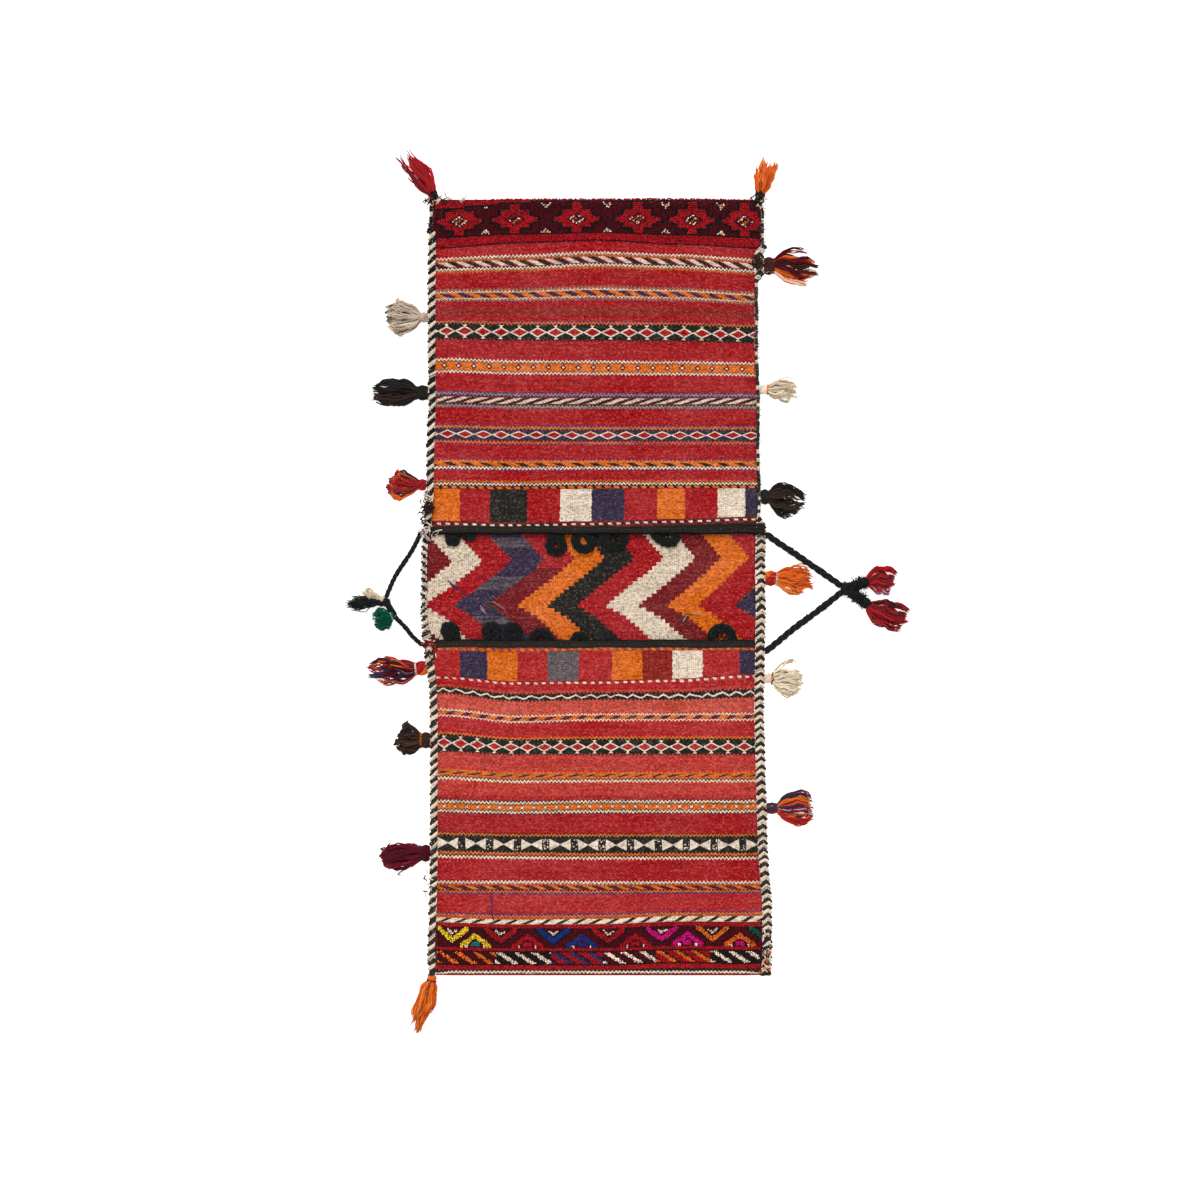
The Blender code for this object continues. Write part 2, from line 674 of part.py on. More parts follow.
def build_tie(name, root, outward, reach, head_share, colour):
    """A turn of thread round a tassel's neck."""
    centre, heading = tassel_path(root, outward, reach, head_share)
    centre.z = TASSEL_NECK_RADIUS + 2 * CLEARANCE + 2 * TIE_WIRE_RADIUS
    bpy.ops.mesh.primitive_torus_add(
        major_radius=TASSEL_NECK_RADIUS + CLEARANCE + TIE_WIRE_RADIUS,
        minor_radius=TIE_WIRE_RADIUS, major_segments=12, minor_segments=5)
    made = bpy.context.active_object
    data = made.data
    bpy.data.objects.remove(made)
    tie = put(name, data, colour)
    tie.location = centre
    tie.rotation_mode = "QUATERNION"
    tie.rotation_quaternion = heading.to_track_quat("Z", "Y")
    return tie


def build_side_tassels():
    """Tassels that stand out sideways from the two bindings, and their ties."""
    for name, spec in SIDE_TASSELS.items():
        side, place, reach_out, drift, width, head_share = spec
        y = place * HALF_LENGTH
        root, outward = binding_exit(side, y, BINDING_MID_Z)
        reach = Vector((math.copysign(reach_out, outward.x), drift, 0.0))
        build_tassel(name, root, outward, reach, width, head_share, TASSEL_COLOURS[name])
        if name in TIED_TASSELS:
            tie_name = name.replace("tassel", "tie", 1)
            build_tie(tie_name, root, outward, reach, head_share, TIED_TASSELS[name])


def build_corner_tassels():
    """Tassels that leave the ends of the side bindings at the corners of the bag."""
    for name, spec in CORNER_TASSELS.items():
        side, end, sideways, reach_out, width, head_share = spec
        outward = Vector((0.0, end, 0.0))
        if side == "left":
            middle = (left_edge(end * HALF_LENGTH) + binding_outside(side, end * HALF_LENGTH)) / 2
        else:
            middle = (right_edge(end * HALF_LENGTH) + binding_outside(side, end * HALF_LENGTH)) / 2
        root = Vector((middle, end * (HALF_LENGTH + CLEARANCE), BINDING_MID_Z))
        reach = Vector((sideways, end * reach_out, 0.0))
        build_tassel(name, root, outward, reach, width, head_share, TASSEL_COLOURS[name])
        tie_name = name.replace("tassel", "tie", 1)
        build_tie(tie_name, root, outward, reach, head_share, TIED_TASSELS[name])


def build_edge_tuft():
    """A small worn tuft sitting on the left binding beside the upper mouth."""
    y = EDGE_TUFT_PLACE * HALF_LENGTH
    middle = (left_edge(y) + binding_outside("left", y)) / 2
    bottom = BINDING_MID_Z + BINDING_HEIGHT / 2 + CLEARANCE
    rings = []
    for lift, size in ((0.0, 0.55), (0.2, 0.9), (0.5, 1.0), (0.8, 0.8), (1.0, 0.4)):
        centre = Vector((middle, y, bottom + EDGE_TUFT_HEIGHT * lift))
        rings.append(ellipse(centre, Vector((1, 0, 0)), Vector((0, 1, 0)),
                             EDGE_TUFT_RADIUS * size, EDGE_TUFT_RADIUS * size, 10, 0.12))
    return loft("edge_tuft_brown", rings, "brown")


def build_right_ropes():
    """The right pair of ropes, their knot and the two red tassels beyond it."""
    rope_radius = RIGHT_ROPE_DIAMETER / 2
    rope_z = rope_radius + CLEARANCE
    side_x = binding_outside("right", RIGHT_KNOT_Y)
    knot = Vector((side_x + RIGHT_KNOT_REACH, RIGHT_KNOT_Y, RIGHT_KNOT_RADIUS + CLEARANCE))
    build_knot("rope_knot_right", knot, RIGHT_KNOT_RADIUS, "black")
    for name, mouth_y, bends in (("rope_right_upper", UPPER_MOUTH_Y, RIGHT_UPPER_BENDS),
                                 ("rope_right_lower", LOWER_MOUTH_Y, RIGHT_LOWER_BENDS)):
        root_y = mouth_y - math.copysign(rope_radius, mouth_y)
        start, outward = binding_exit("right", root_y, rope_z)
        towards = start - knot
        towards.z = 0.0
        towards.normalize()
        goal = knot + towards * (RIGHT_KNOT_RADIUS + CLEARANCE)
        route = rope_route(start, outward, goal, towards, bends)
        tube(name, route, rope_radius, "black")
    for name, spec in (("upper", UPPER_ROPE_TASSEL), ("lower", LOWER_ROPE_TASSEL)):
        turn, length, drift = spec
        heading = Vector((math.cos(turn), math.sin(turn), 0.0))
        start = knot + heading * (RIGHT_KNOT_RADIUS + CLEARANCE)
        barrel("rope_tassel_neck_" + name, start, heading, ROPE_TASSEL_NECK_LENGTH,
               ROPE_TASSEL_NECK_RADIUS, "black")
        root = start + heading * (ROPE_TASSEL_NECK_LENGTH + CLEARANCE)
        aside = Vector((-heading.y, heading.x, 0.0))
        build_tassel("rope_tassel_" + name, root, heading, heading * length + aside * drift,
                     ROPE_TASSEL_SKIRT_WIDTH, 0.06, "red")


def build_left_ropes():
    """The left pair of ropes, their knot, its two yarn ends and the green tuft."""
    rope_radius = LEFT_ROPE_DIAMETER / 2
    rope_z = rope_radius + CLEARANCE
    side_x = binding_outside("left", LEFT_KNOT_Y)
    knot = Vector((side_x - LEFT_KNOT_REACH, LEFT_KNOT_Y, LEFT_KNOT_RADIUS + CLEARANCE))
    build_knot("rope_knot_left", knot, LEFT_KNOT_RADIUS, "black")

    start, outward = binding_exit("left", UPPER_MOUTH_Y - rope_radius, rope_z)
    approach = Vector((math.cos(LEFT_UPPER_ARRIVAL), math.sin(LEFT_UPPER_ARRIVAL), 0.0))
    goal = knot + approach * (LEFT_KNOT_RADIUS + CLEARANCE)
    route = rope_route(start, outward, goal, approach, LEFT_UPPER_BENDS)
    tube("rope_left_upper", route, rope_radius, "black")

    wrap_heading = Vector((math.cos(LEFT_WRAP_TURN), math.sin(LEFT_WRAP_TURN), 0.0))
    wrap_start = knot + wrap_heading * (LEFT_KNOT_RADIUS + CLEARANCE)
    barrel("rope_wrap_left", wrap_start, wrap_heading, LEFT_WRAP_LENGTH, LEFT_WRAP_RADIUS, "black")
    wrap_end = wrap_start + wrap_heading * (LEFT_WRAP_LENGTH + CLEARANCE)
    start, outward = binding_exit("left", LOWER_MOUTH_Y + rope_radius, rope_z)
    route = rope_route(start, outward, wrap_end, wrap_heading, LEFT_LOWER_BENDS)
    tube("rope_left_lower", route, rope_radius, "black")

    for name, spec, colour in (("rope_end_black", ROPE_END_BLACK, "black"),
                               ("rope_end_cream", ROPE_END_CREAM, "cream")):
        turn, length, width = spec
        heading = Vector((math.cos(turn), math.sin(turn), 0.0))
        root = knot + heading * (LEFT_KNOT_RADIUS + CLEARANCE)
        build_tassel(name, root, heading, heading * length, width, 0.14, colour,
                     head=ROPE_END_RADIUS, neck=ROPE_END_RADIUS)

    tuft_heading = Vector((math.cos(GREEN_TUFT_TURN), math.sin(GREEN_TUFT_TURN), 0.0))
    middle = wrap_start + wrap_heading * (LEFT_WRAP_LENGTH * GREEN_TUFT_PLACE)
    root = middle + tuft_heading * (LEFT_WRAP_RADIUS + 2 * CLEARANCE)
    build_tassel("tuft_green", root, tuft_heading, tuft_heading * GREEN_TUFT_LENGTH,
                 GREEN_TUFT_WIDTH, 0.16, "green")
    build_tie("tie_green_tuft", root, tuft_heading, tuft_heading * GREEN_TUFT_LENGTH, 0.16, "cream")


def build_bag():
    """Build every piece of the saddle bag."""
    build_cloth()
    for side in ("left", "right"):
        build_side_binding(side)
    build_mouth_binding("mouth_binding_upper", UPPER_MOUTH_Y, 1.0)
    build_mouth_binding("mouth_binding_lower", LOWER_MOUTH_Y, -1.0)
    for number, spec in enumerate(UPPER_LOOPS, start=1):
        build_closure_loop(f"closure_loop_upper_{number}", spec, UPPER_MOUTH_Y, -1.0)
    for number, spec in enumerate(LOWER_LOOPS, start=1):
        build_closure_loop(f"closure_loop_lower_{number}", spec, LOWER_MOUTH_Y, 1.0)
    build_right_ropes()
    build_left_ropes()
    build_side_tassels()
    build_corner_tassels()
    build_edge_tuft()


clear_scene()
BAG = bpy.data.collections.new("kilim_saddle_bag")
bpy.context.scene.collection.children.link(BAG)
build_bag()
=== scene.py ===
"""Looks of the kilim saddle bag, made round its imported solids.

The bag lies on its back as the solids do: +X across the cloth, +Y along it, +Z up. The weave is
drafted in picks: a column is one pick across, counted from the middle of the cloth, and a row is
one pick along, counted from the top fold (row 0) to the bottom fold (row 776).
"""

import json
import logging
import math
from dataclasses import dataclass, field
from enum import Enum
from typing import Callable, Optional, Sequence, Union

import bpy
import numpy as np
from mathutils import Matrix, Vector

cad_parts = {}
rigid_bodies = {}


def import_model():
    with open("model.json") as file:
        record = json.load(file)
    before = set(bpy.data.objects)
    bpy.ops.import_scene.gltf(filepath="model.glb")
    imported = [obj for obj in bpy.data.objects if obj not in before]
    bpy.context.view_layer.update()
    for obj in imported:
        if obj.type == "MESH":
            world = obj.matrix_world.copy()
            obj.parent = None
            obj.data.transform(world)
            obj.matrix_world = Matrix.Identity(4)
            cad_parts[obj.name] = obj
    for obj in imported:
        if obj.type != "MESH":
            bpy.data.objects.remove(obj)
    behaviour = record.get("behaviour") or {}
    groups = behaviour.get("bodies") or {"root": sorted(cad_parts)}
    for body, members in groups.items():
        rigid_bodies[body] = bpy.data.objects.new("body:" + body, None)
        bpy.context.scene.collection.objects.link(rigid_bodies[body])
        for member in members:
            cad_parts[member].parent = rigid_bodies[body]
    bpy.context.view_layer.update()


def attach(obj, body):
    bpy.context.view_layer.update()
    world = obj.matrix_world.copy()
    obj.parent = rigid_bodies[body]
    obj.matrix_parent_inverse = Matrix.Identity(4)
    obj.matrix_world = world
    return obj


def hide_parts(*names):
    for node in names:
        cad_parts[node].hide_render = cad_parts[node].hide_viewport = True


LOG = logging.getLogger("kilim_saddle_bag")
Colour = tuple[float, float, float]
Stops = tuple[tuple[float, Colour], ...]
Array = np.ndarray
Design = Callable[[Array, Array], Array]
Material = bpy.types.Material
Piece = bpy.types.Object
TURN = 2.0 * math.pi


def dyed(red: int, green: int, blue: int) -> Colour:
    """Turn a dye's display colour, 0 to 255, into the linear colour a shader takes.

    Args:
        red, green, blue: the display colour.

    Returns:
        The linear colour.
    """
    shares = [value / 255.0 for value in (red, green, blue)]
    return tuple(s / 12.92 if s <= 0.04045 else ((s + 0.055) / 1.055) ** 2.4 for s in shares)


RED = dyed(172, 33, 38)
DULL_RED = dyed(154, 46, 44)
DEEP_RED = dyed(124, 32, 36)
SALMON = dyed(196, 64, 56)
PALE_SALMON = dyed(204, 82, 68)
FOLD_RED = dyed(182, 42, 44)
BLACK = dyed(40, 38, 35)
CREAM = dyed(238, 218, 196)
BLUSH = dyed(232, 200, 182)
GREY = dyed(150, 140, 138)
ORANGE = dyed(226, 110, 34)
AMBER = dyed(218, 108, 40)
NAVY = dyed(60, 50, 74)
SLATE = dyed(106, 94, 98)
BLUE = dyed(64, 56, 104)
MAROON = dyed(84, 14, 26)
PLUM = dyed(96, 28, 48)
PILE_RED = dyed(178, 24, 34)
PILE_BLACK = dyed(34, 26, 26)
YELLOW = dyed(240, 206, 50)
ROYAL = dyed(16, 56, 138)
MAGENTA = dyed(206, 16, 126)
TEAL = dyed(0, 130, 128)
GREEN = dyed(0, 92, 66)
BROWN = dyed(62, 42, 34)
LILAC = dyed(168, 148, 176)
BEIGE = dyed(196, 176, 156)
SOOT = dyed(30, 33, 33)
BARK = dyed(56, 48, 42)
BRIDGE_CREAM = dyed(228, 208, 184)


def smooth(share: Array) -> Array:
    """Ease a share from 0 to 1 with level ends."""
    share = np.clip(share, 0.0, 1.0)
    return share * share * (3.0 - 2.0 * share)


def unit(vectors: Array) -> Array:
    """Scale vectors to length one along their last axis."""
    return vectors / np.maximum(np.linalg.norm(vectors, axis=-1, keepdims=True), 1e-12)


class Side(Enum):
    """One long side of the bag, by its direction along X."""

    LEFT = -1
    RIGHT = 1


LEFT, RIGHT = Side

# How the cloth's edges wander: place as a share of half the length, then the left and the right
# edge's step outward, as the solids have them
EDGE_STATIONS = np.array((
    (-1.00, 0.0010, 0.0060), (-0.93, 0.0030, 0.0080), (-0.81, 0.0000, 0.0075),
    (-0.68, -0.0015, 0.0010), (-0.52, -0.0015, -0.0015), (-0.32, -0.0015, -0.0050),
    (-0.235, 0.0010, -0.0040), (-0.14, 0.0090, -0.0030), (-0.06, 0.0125, -0.0020),
    (0.07, 0.0120, -0.0030), (0.145, 0.0100, -0.0020), (0.225, 0.0050, 0.0010),
    (0.35, 0.0040, -0.0020), (0.48, 0.0015, -0.0010), (0.61, 0.0020, -0.0040),
    (0.77, 0.0020, -0.0040), (0.87, 0.0015, -0.0050), (1.00, -0.0010, -0.0050),
))

# How far the wefts sag below their drafted row, in picks, at five places across the cloth
SAG_PLACES = (0.02, 0.25, 0.50, 0.75, 0.98)
SAG_STATIONS = np.array((
    (0, 2.5, 0.5, 0, 0, 1.0), (30, 3.4, 0.8, -0.6, 1.2, 4.0), (39, 6.2, 0.9, -1.6, 2.8, 5.8),
    (54, 5.0, 3.0, -0.8, 1.5, 5.5), (90, 3.0, 2.5, 0, 1.5, 5.3), (121, -1.4, 0, 0, 0.5, 2.5),
    (160, -2.7, -0.3, 0, 0.5, 1.5), (200, -2.0, -0.3, 0, 0, 0), (235, -1.8, -0.3, 0, 0, 0),
    (285, 0, 0.8, 0, 0, 0), (318, -0.4, 1.6, 0, -2.2, -4.4),
    (329, -0.4, 1.2, 0, -2.4, -4.8), (334, 0, 0, 0, -1.0, -2.0),
    (441, 0, 0, 0, 0, 0), (449, 0, 1.6, 0, 0, 0), (482, -5.0, 0.7, 0, -2.0, -6.5),
    (497, -6.5, 1.5, 0, 0, -2.5), (518, -4.3, 2.2, 0, 0, 0), (545, -4.6, 0.6, 0, 0, 0),
    (555, -2.0, 0, 0, 0, 0), (578, -3.2, 0.5, 0, 0, 0), (602, 0, 1.5, 0, 0, 0),
    (646, -2.2, -0.6, 0, 0, 0), (683, 0, -0.5, 0, 0, 0), (720, -1.0, 1.0, 0, -2.8, -2.8),
    (726, -2.0, 0, 0, -2.7, -1.7), (770, 0, 0, 0, -2.0, -1.0), (776, 0, 0, 0, -0.5, 0),
))

# How far the whole upper pouch has settled down the bag, in picks, at some rows
SETTLED_ROWS = (0, 10, 30, 60, 160, 235, 290)
SETTLED_STEPS = (0.6, 3.3, 3.2, 2.6, 2.9, 2.9, 0.3)


@dataclass(frozen=True)
class Outline:
    """The bag's outline, with the sizes of its solids, in metres."""

    body_length: float = 1.200
    cloth_width: float = 0.495
    cloth_thickness: float = 0.0035
    pile_thickness: float = 0.0065
    clearance: float = 0.0003
    upper_mouth_y: float = 0.0843
    lower_mouth_y: float = -0.0827
    pouch_hollow: float = 0.009
    seam_hollow: float = 0.0006
    seam_allowance: float = 0.003
    seam_run: float = 0.024
    left_binding: float = 0.012
    right_binding: float = 0.015
    tucked_binding: float = 0.005
    tucked_from: float = 0.150
    tucked_to: float = 0.810
    tucked_blend: float = 0.030
    binding_height: float = 0.0085
    mouth_binding: float = 0.0105
    mouth_thickness: float = 0.0045
    rows: int = 776
    swell: float = 0.0006
    fold_round: float = 0.0010
    slimmer_by_right_pile: float = 0.0112
    slimmer_by_left_pile: float = 0.0070
    slimmer_by_bridge: float = 0.0036

    @property
    def half_length(self) -> float:
        """Half the length from fold to fold."""
        return self.body_length / 2

    @property
    def half_width(self) -> float:
        """Half the cloth's nominal width."""
        return self.cloth_width / 2

    @property
    def pick(self) -> float:
        """Size of one drafted pick."""
        return self.body_length / self.rows

    @property
    def binding_mid_z(self) -> float:
        """Height of the side bindings' middle."""
        return self.binding_height / 2 + self.clearance

    def narrowing(self, side: Side, y: Array) -> Array:
        """How much narrower a binding is than its solid: beside the upper pile and the left of the bridge."""
        y = np.asarray(y, float)
        if side is RIGHT:
            return self.slimmer_by_right_pile * smooth((y - 0.517) / 0.012)
        within = smooth((self.upper_mouth_y - 0.004 - y) / 0.014)
        within = within * smooth((y - self.lower_mouth_y - 0.004) / 0.014)
        return self.slimmer_by_bridge * within + self.slimmer_by_left_pile * smooth((y - 0.540) / 0.020)

    def edge(self, side: Side, y: Array) -> Array:
        """X of the cloth's edge.

        Args:
            side: which edge.
            y: places along the bag.

        Returns:
            X at each place.
        """
        column = 1 if side is LEFT else 2
        step = np.interp(np.asarray(y) / self.half_length, EDGE_STATIONS[:, 0], EDGE_STATIONS[:, column])
        return side.value * (self.half_width + step + self.narrowing(side, y))

    def binding_width(self, side: Side, y: Array) -> Array:
        """Width of a side binding, which is tucked away along the right upper pouch."""
        if side is LEFT:
            return self.left_binding - self.narrowing(side, y)
        place = np.asarray(y) / self.half_length
        tucked = smooth((place - self.tucked_from) / self.tucked_blend)
        tucked = tucked * smooth((self.tucked_to - place) / self.tucked_blend)
        width = self.right_binding + tucked * (self.tucked_binding - self.right_binding)
        return width - self.narrowing(side, y)

    def binding_outside(self, side: Side, y: Array) -> Array:
        """X of a side binding's outer face."""
        return self.edge(side, y) + side.value * (self.clearance + self.binding_width(side, y))

    def binding_exit(self, side: Side, y: float, z: float) -> tuple[Array, Array]:
        """Where a rope or tassel leaves a side binding.

        Args:
            side: which binding.
            y: place along it.
            z: height.

        Returns:
            The point, and the level way square out of the binding there.
        """
        step = 0.002
        face = float(self.binding_outside(side, y + step) - self.binding_outside(side, y - step))
        outward = unit(np.array((side.value * 2 * step, -side.value * face, 0.0)))
        start = np.array((float(self.binding_outside(side, y)), y, z))
        return start + outward * self.clearance, outward

    def across(self, y: Array, share: Array) -> Array:
        """X of a place across the cloth, from 0 at its left edge to 1 at its right edge."""
        left = self.edge(LEFT, y)
        return left + share * (self.edge(RIGHT, y) - left)

    def hollow(self, share: Array) -> Array:
        """Height of the pouch's hollow, which closes towards both side seams."""
        inset = np.minimum(share, 1.0 - share) * self.cloth_width - self.seam_allowance
        return self.seam_hollow + (self.pouch_hollow - self.seam_hollow) * smooth(inset / self.seam_run)

    def sag(self, row: Array, share: Array) -> Array:
        """How far a weft sags below its drafted row, in picks."""
        row, share = np.broadcast_arrays(np.asarray(row, float), np.asarray(share, float))
        steps = [np.interp(row, SAG_STATIONS[:, 0], SAG_STATIONS[:, 1 + k]) for k in range(5)]
        result = steps[0] + np.interp(row, SETTLED_ROWS, SETTLED_STEPS)
        for k in range(4):
            run = (share - SAG_PLACES[k]) / (SAG_PLACES[k + 1] - SAG_PLACES[k])
            result = result + (steps[k + 1] - steps[k]) * smooth(run)
        return result

    def ripple(self, x: Array, y: Array) -> Array:
        """Slow unevenness of cloth that has been folded and carried, about -1 to 1."""
        return (0.42 * np.sin(23 * x + 9 * y + 0.7) + 0.33 * np.sin(-14 * x + 31 * y + 2.1)
                + 0.25 * np.sin(47 * x - 22 * y + 4.0))

    def front(self, share: Array, row: Array) -> tuple[Array, Array]:
        """Outer face of the pouches' fronts, which turns over at the folds.

        Args:
            share: places across the cloth.
            row: drafted rows.

        Returns:
            The points and the outward normals.
        """
        share, row = np.broadcast_arrays(np.asarray(share, float), np.asarray(row, float))
        upper = row < self.rows / 2
        sign = np.where(upper, 1.0, -1.0)
        lower_row = self.rows - row
        depth = np.where(upper, row + self.sag(row, share), lower_row - self.sag(row, share)) * self.pick
        radius = self.hollow(share) / 2
        reach = radius + self.pile_thickness - self.fold_round
        middle = self.half_length - self.pile_thickness - radius
        turn = np.clip((self.half_length - depth - middle) / reach, 0.0, 0.999)
        rise = np.sqrt(1.0 - turn ** 2)
        y = sign * (self.half_length - depth)
        x = self.across(y, share)
        flat = smooth(1.0 - turn * 3.0)
        lift = self.ripple(x, y) * self.swell * np.clip(self.hollow(share) / self.pouch_hollow, 0, 1) * flat
        z = self.cloth_thickness + radius + rise * (radius + self.cloth_thickness) + lift
        normal = np.stack((np.zeros_like(x), sign * turn, rise), axis=-1)
        return np.stack((x, y, z), axis=-1), unit(normal)


BAG = Outline()
GAP = BAG.clearance


Number = Union["Field", float]


def operation(name: str) -> Callable[..., "Field"]:
    """A method of fields that is one Math node."""
    return lambda first, *others: first.weave.math(name, first, *others)


class Field:
    """A number or colour that varies over a surface, as one socket of a material's nodes.

    Comparisons give masks, and the product of two masks is where both hold.
    """

    __add__ = operation("ADD")
    __sub__ = operation("SUBTRACT")
    __mul__ = operation("MULTIPLY")
    __truediv__ = operation("DIVIDE")
    __lt__ = operation("LESS_THAN")
    __gt__ = operation("GREATER_THAN")
    fract = operation("FRACT")
    floor = operation("FLOOR")
    size = operation("ABSOLUTE")
    most = operation("MAXIMUM")
    least = operation("MINIMUM")

    def __init__(self, weave: "Draft", socket: bpy.types.NodeSocket) -> None:
        self.weave = weave
        self.socket = socket

    def held(self, low: float, high: float) -> "Field":
        """Keep between two limits."""
        return self.most(low).least(high)

    def stepped(self, step: float) -> "Field":
        """Round down to whole steps."""
        return (self / step).floor() * step

    def from_middle(self, pitch: float) -> "Field":
        """Distance from the middle of each repeat of a pattern."""
        return ((self / pitch).fract() - 0.5).size() * pitch


class Draft:
    """Builds one material's nodes."""

    def __init__(self, name: str, roughness: float = 0.92) -> None:
        self.material = bpy.data.materials.new(name)
        self.material.use_nodes = True
        self.nodes = self.material.node_tree.nodes
        self.links = self.material.node_tree.links
        self.shader = self.nodes["Principled BSDF"]
        for socket, value in (("Roughness", roughness), ("Specular IOR Level", 0.10),
                              ("Sheen Weight", 0.05), ("Sheen Roughness", 0.45)):
            self.shader.inputs[socket].default_value = value

    def feed(self, socket: bpy.types.NodeSocket, value: Union[Number, Colour]) -> None:
        """Link a field to a socket, or set its own value."""
        if isinstance(value, Field):
            self.links.new(value.socket, socket)
        elif isinstance(value, tuple):
            socket.default_value = (*value, 1.0)
        else:
            socket.default_value = value

    def node(self, kind: str, inputs: dict[Union[int, str], Union[Number, Colour]],
             output: Union[int, str] = 0, **settings: str) -> Field:
        """Add a node.

        Args:
            kind: the node's type.
            inputs: what feeds each of its sockets.
            output: the socket that gives its result.
            settings: the node's own options.

        Returns:
            The node's result.
        """
        node = self.nodes.new("ShaderNode" + kind)
        for option, choice in settings.items():
            setattr(node, option, choice)
        for socket, value in inputs.items():
            self.feed(node.inputs[socket], value)
        return Field(self, node.outputs[output])

    def math(self, operation: str, *values: Number) -> Field:
        """One Math node's result."""
        return self.node("Math", dict(enumerate(values)), operation=operation)

    def mix(self, share: Number, ground: Union[Field, Colour], figure: Union[Field, Colour]) -> Field:
        """Lay one colour over another where the share is 1."""
        return self.node("Mix", {"Factor": share, 6: ground, 7: figure}, 2, data_type="RGBA")

    def ramp(self, place: Field, stops: Stops, low: float = 0.0, high: float = 1.0) -> Field:
        """Colours in steps along a place, each from its own start on.

        Args:
            place: where along the steps.
            stops: start and colour of each step.
            low, high: the places that the first and last starts are counted between.

        Returns:
            The colour.
        """
        node = self.nodes.new("ShaderNodeValToRGB")
        node.color_ramp.interpolation = "CONSTANT"
        steps = node.color_ramp.elements
        while len(steps) > 1:
            steps.remove(steps[-1])
        for index, (start, colour) in enumerate(stops):
            at = min(1.0, max(0.0, (start - low) / (high - low)))
            step = steps[0] if index == 0 else steps.new(at)
            step.position = at
            step.color = (*colour, 1.0)
        self.feed(node.inputs[0], (place - low) / (high - low))
        return Field(self, node.outputs[0])

    def uv(self, layer: str) -> tuple[Field, Field]:
        """The two coordinates of a UV map."""
        first = self.node("SeparateXYZ", {0: self.node("UVMap", {}, uv_map=layer)})
        return first, Field(self, first.socket.node.outputs[1])

    def attribute(self, name: str) -> Field:
        """A colour attribute of the mesh."""
        return self.node("Attribute", {}, "Color", attribute_name=name)

    def join(self, *numbers: Number) -> Field:
        """A vector of two or three numbers."""
        return self.node("CombineXYZ", dict(enumerate(numbers)))

    def noise(self, x: Number, y: Number, z: Number = 0.0, detail: float = 2.0) -> Field:
        """Soft noise, about 0.25 to 0.75 round a middle of 0.5."""
        return self.node("TexNoise", {"Scale": 1.0, "Detail": detail, "Vector": self.join(x, y, z)})

    def speckle(self, x: Number, y: Number) -> Field:
        """Hard noise from 0 to 1, one value in each whole cell."""
        return self.node("TexWhiteNoise", {"Vector": self.join(x, y)}, noise_dimensions="2D")

    def tone(self, colour: Field, brightness: Number, saturation: Number = 1.0) -> Field:
        """Change a colour's brightness and saturation."""
        return self.node("HueSaturation", {"Value": brightness, "Saturation": saturation, "Color": colour})

    def finish(self, colour: Field, height: Field, deep: float, strength: float) -> Material:
        """Connect the surface's colour and relief.

        Args:
            colour: the base colour.
            height: the relief, 0 to 1.
            deep: the relief's depth in metres.
            strength: share of the relief that shows.

        Returns:
            The finished material.
        """
        self.feed(self.shader.inputs["Base Color"], colour)
        bump = self.node("Bump", {"Strength": strength, "Distance": deep, "Height": height})
        self.feed(self.shader.inputs["Normal"], bump)
        return self.material


class Figure:
    """A woven figure that is laid over a zone's stripes."""

    def paint(self, draft: Draft, ground: Field, u: Field, v: Field) -> Field:
        """Lay the figure over the ground colour."""
        raise NotImplementedError

    def distances(self, u: Field, v: Field) -> tuple[Field, Field]:
        """Distances aside from the nearest repeat's middle, and up or down from the figure's row."""
        return (u - self.start + self.pitch / 2).from_middle(self.pitch), (v - self.row).size()


@dataclass(frozen=True)
class Blocks(Figure):
    """Blocks of yarn along a line, slanting by some columns for each row."""

    row: float
    half: float
    pitch: float
    start: float
    slant: float
    yarns: Stops

    def paint(self, draft: Draft, ground: Field, u: Field, v: Field) -> Field:
        """Lay the blocks over the ground colour."""
        down = (v - self.row).stepped(0.9)
        along = ((u - self.start + down * self.slant) / self.pitch).fract()
        return draft.mix((v - self.row).size() < self.half, ground, draft.ramp(along, self.yarns))


@dataclass(frozen=True)
class Diamonds(Figure):
    """A chain of outlined diamonds, with or without small horns at their tips."""

    row: float
    half: float
    pitch: float
    start: float
    inside: Colour = RED
    outline: Colour = CREAM
    horns: bool = False
    core: float = 0.74

    def paint(self, draft: Draft, ground: Field, u: Field, v: Field) -> Field:
        """Lay the chain over the ground colour."""
        aside, down = self.distances(u, v)
        ring = aside.stepped(0.5) / (self.pitch / 2) + down / self.half
        ground = draft.mix(ring < 1.04, ground, self.outline)
        ground = draft.mix(ring < self.core, ground, self.inside)
        if self.horns:
            beyond = down - (self.half + 0.1)
            horn = (aside < beyond * 0.95 + 0.5) * (beyond > 0.0) * (beyond < 1.9)
            ground = draft.mix(horn, ground, self.outline)
        return ground


@dataclass(frozen=True)
class Eyes(Figure):
    """Small lozenges with a light eye."""

    row: float
    pitch: float
    start: float
    size: float
    ring: Colour
    eye: Colour = CREAM
    eye_size: float = 1.1

    def paint(self, draft: Draft, ground: Field, u: Field, v: Field) -> Field:
        """Lay the lozenges over the ground colour."""
        aside, down = self.distances(u, v)
        ground = draft.mix(aside + down < self.size, ground, self.ring)
        return draft.mix((aside < self.eye_size) * (down < self.eye_size * 0.8), ground, self.eye)


@dataclass(frozen=True)
class Zigzag(Figure):
    """A thin line that runs up and down."""

    row: float
    pitch: float
    rise: float
    half: float
    yarn: Colour = CREAM

    def paint(self, draft: Draft, ground: Field, u: Field, v: Field) -> Field:
        """Lay the line over the ground colour."""
        wander = (draft.noise(u * 0.09, 3.0, 0.0) - 0.5) * 16.0
        line = ((u + wander).from_middle(self.pitch) / (self.pitch / 4) - 1.0) * self.rise
        return draft.mix((v - self.row - line).size() < self.half, ground, self.yarn)


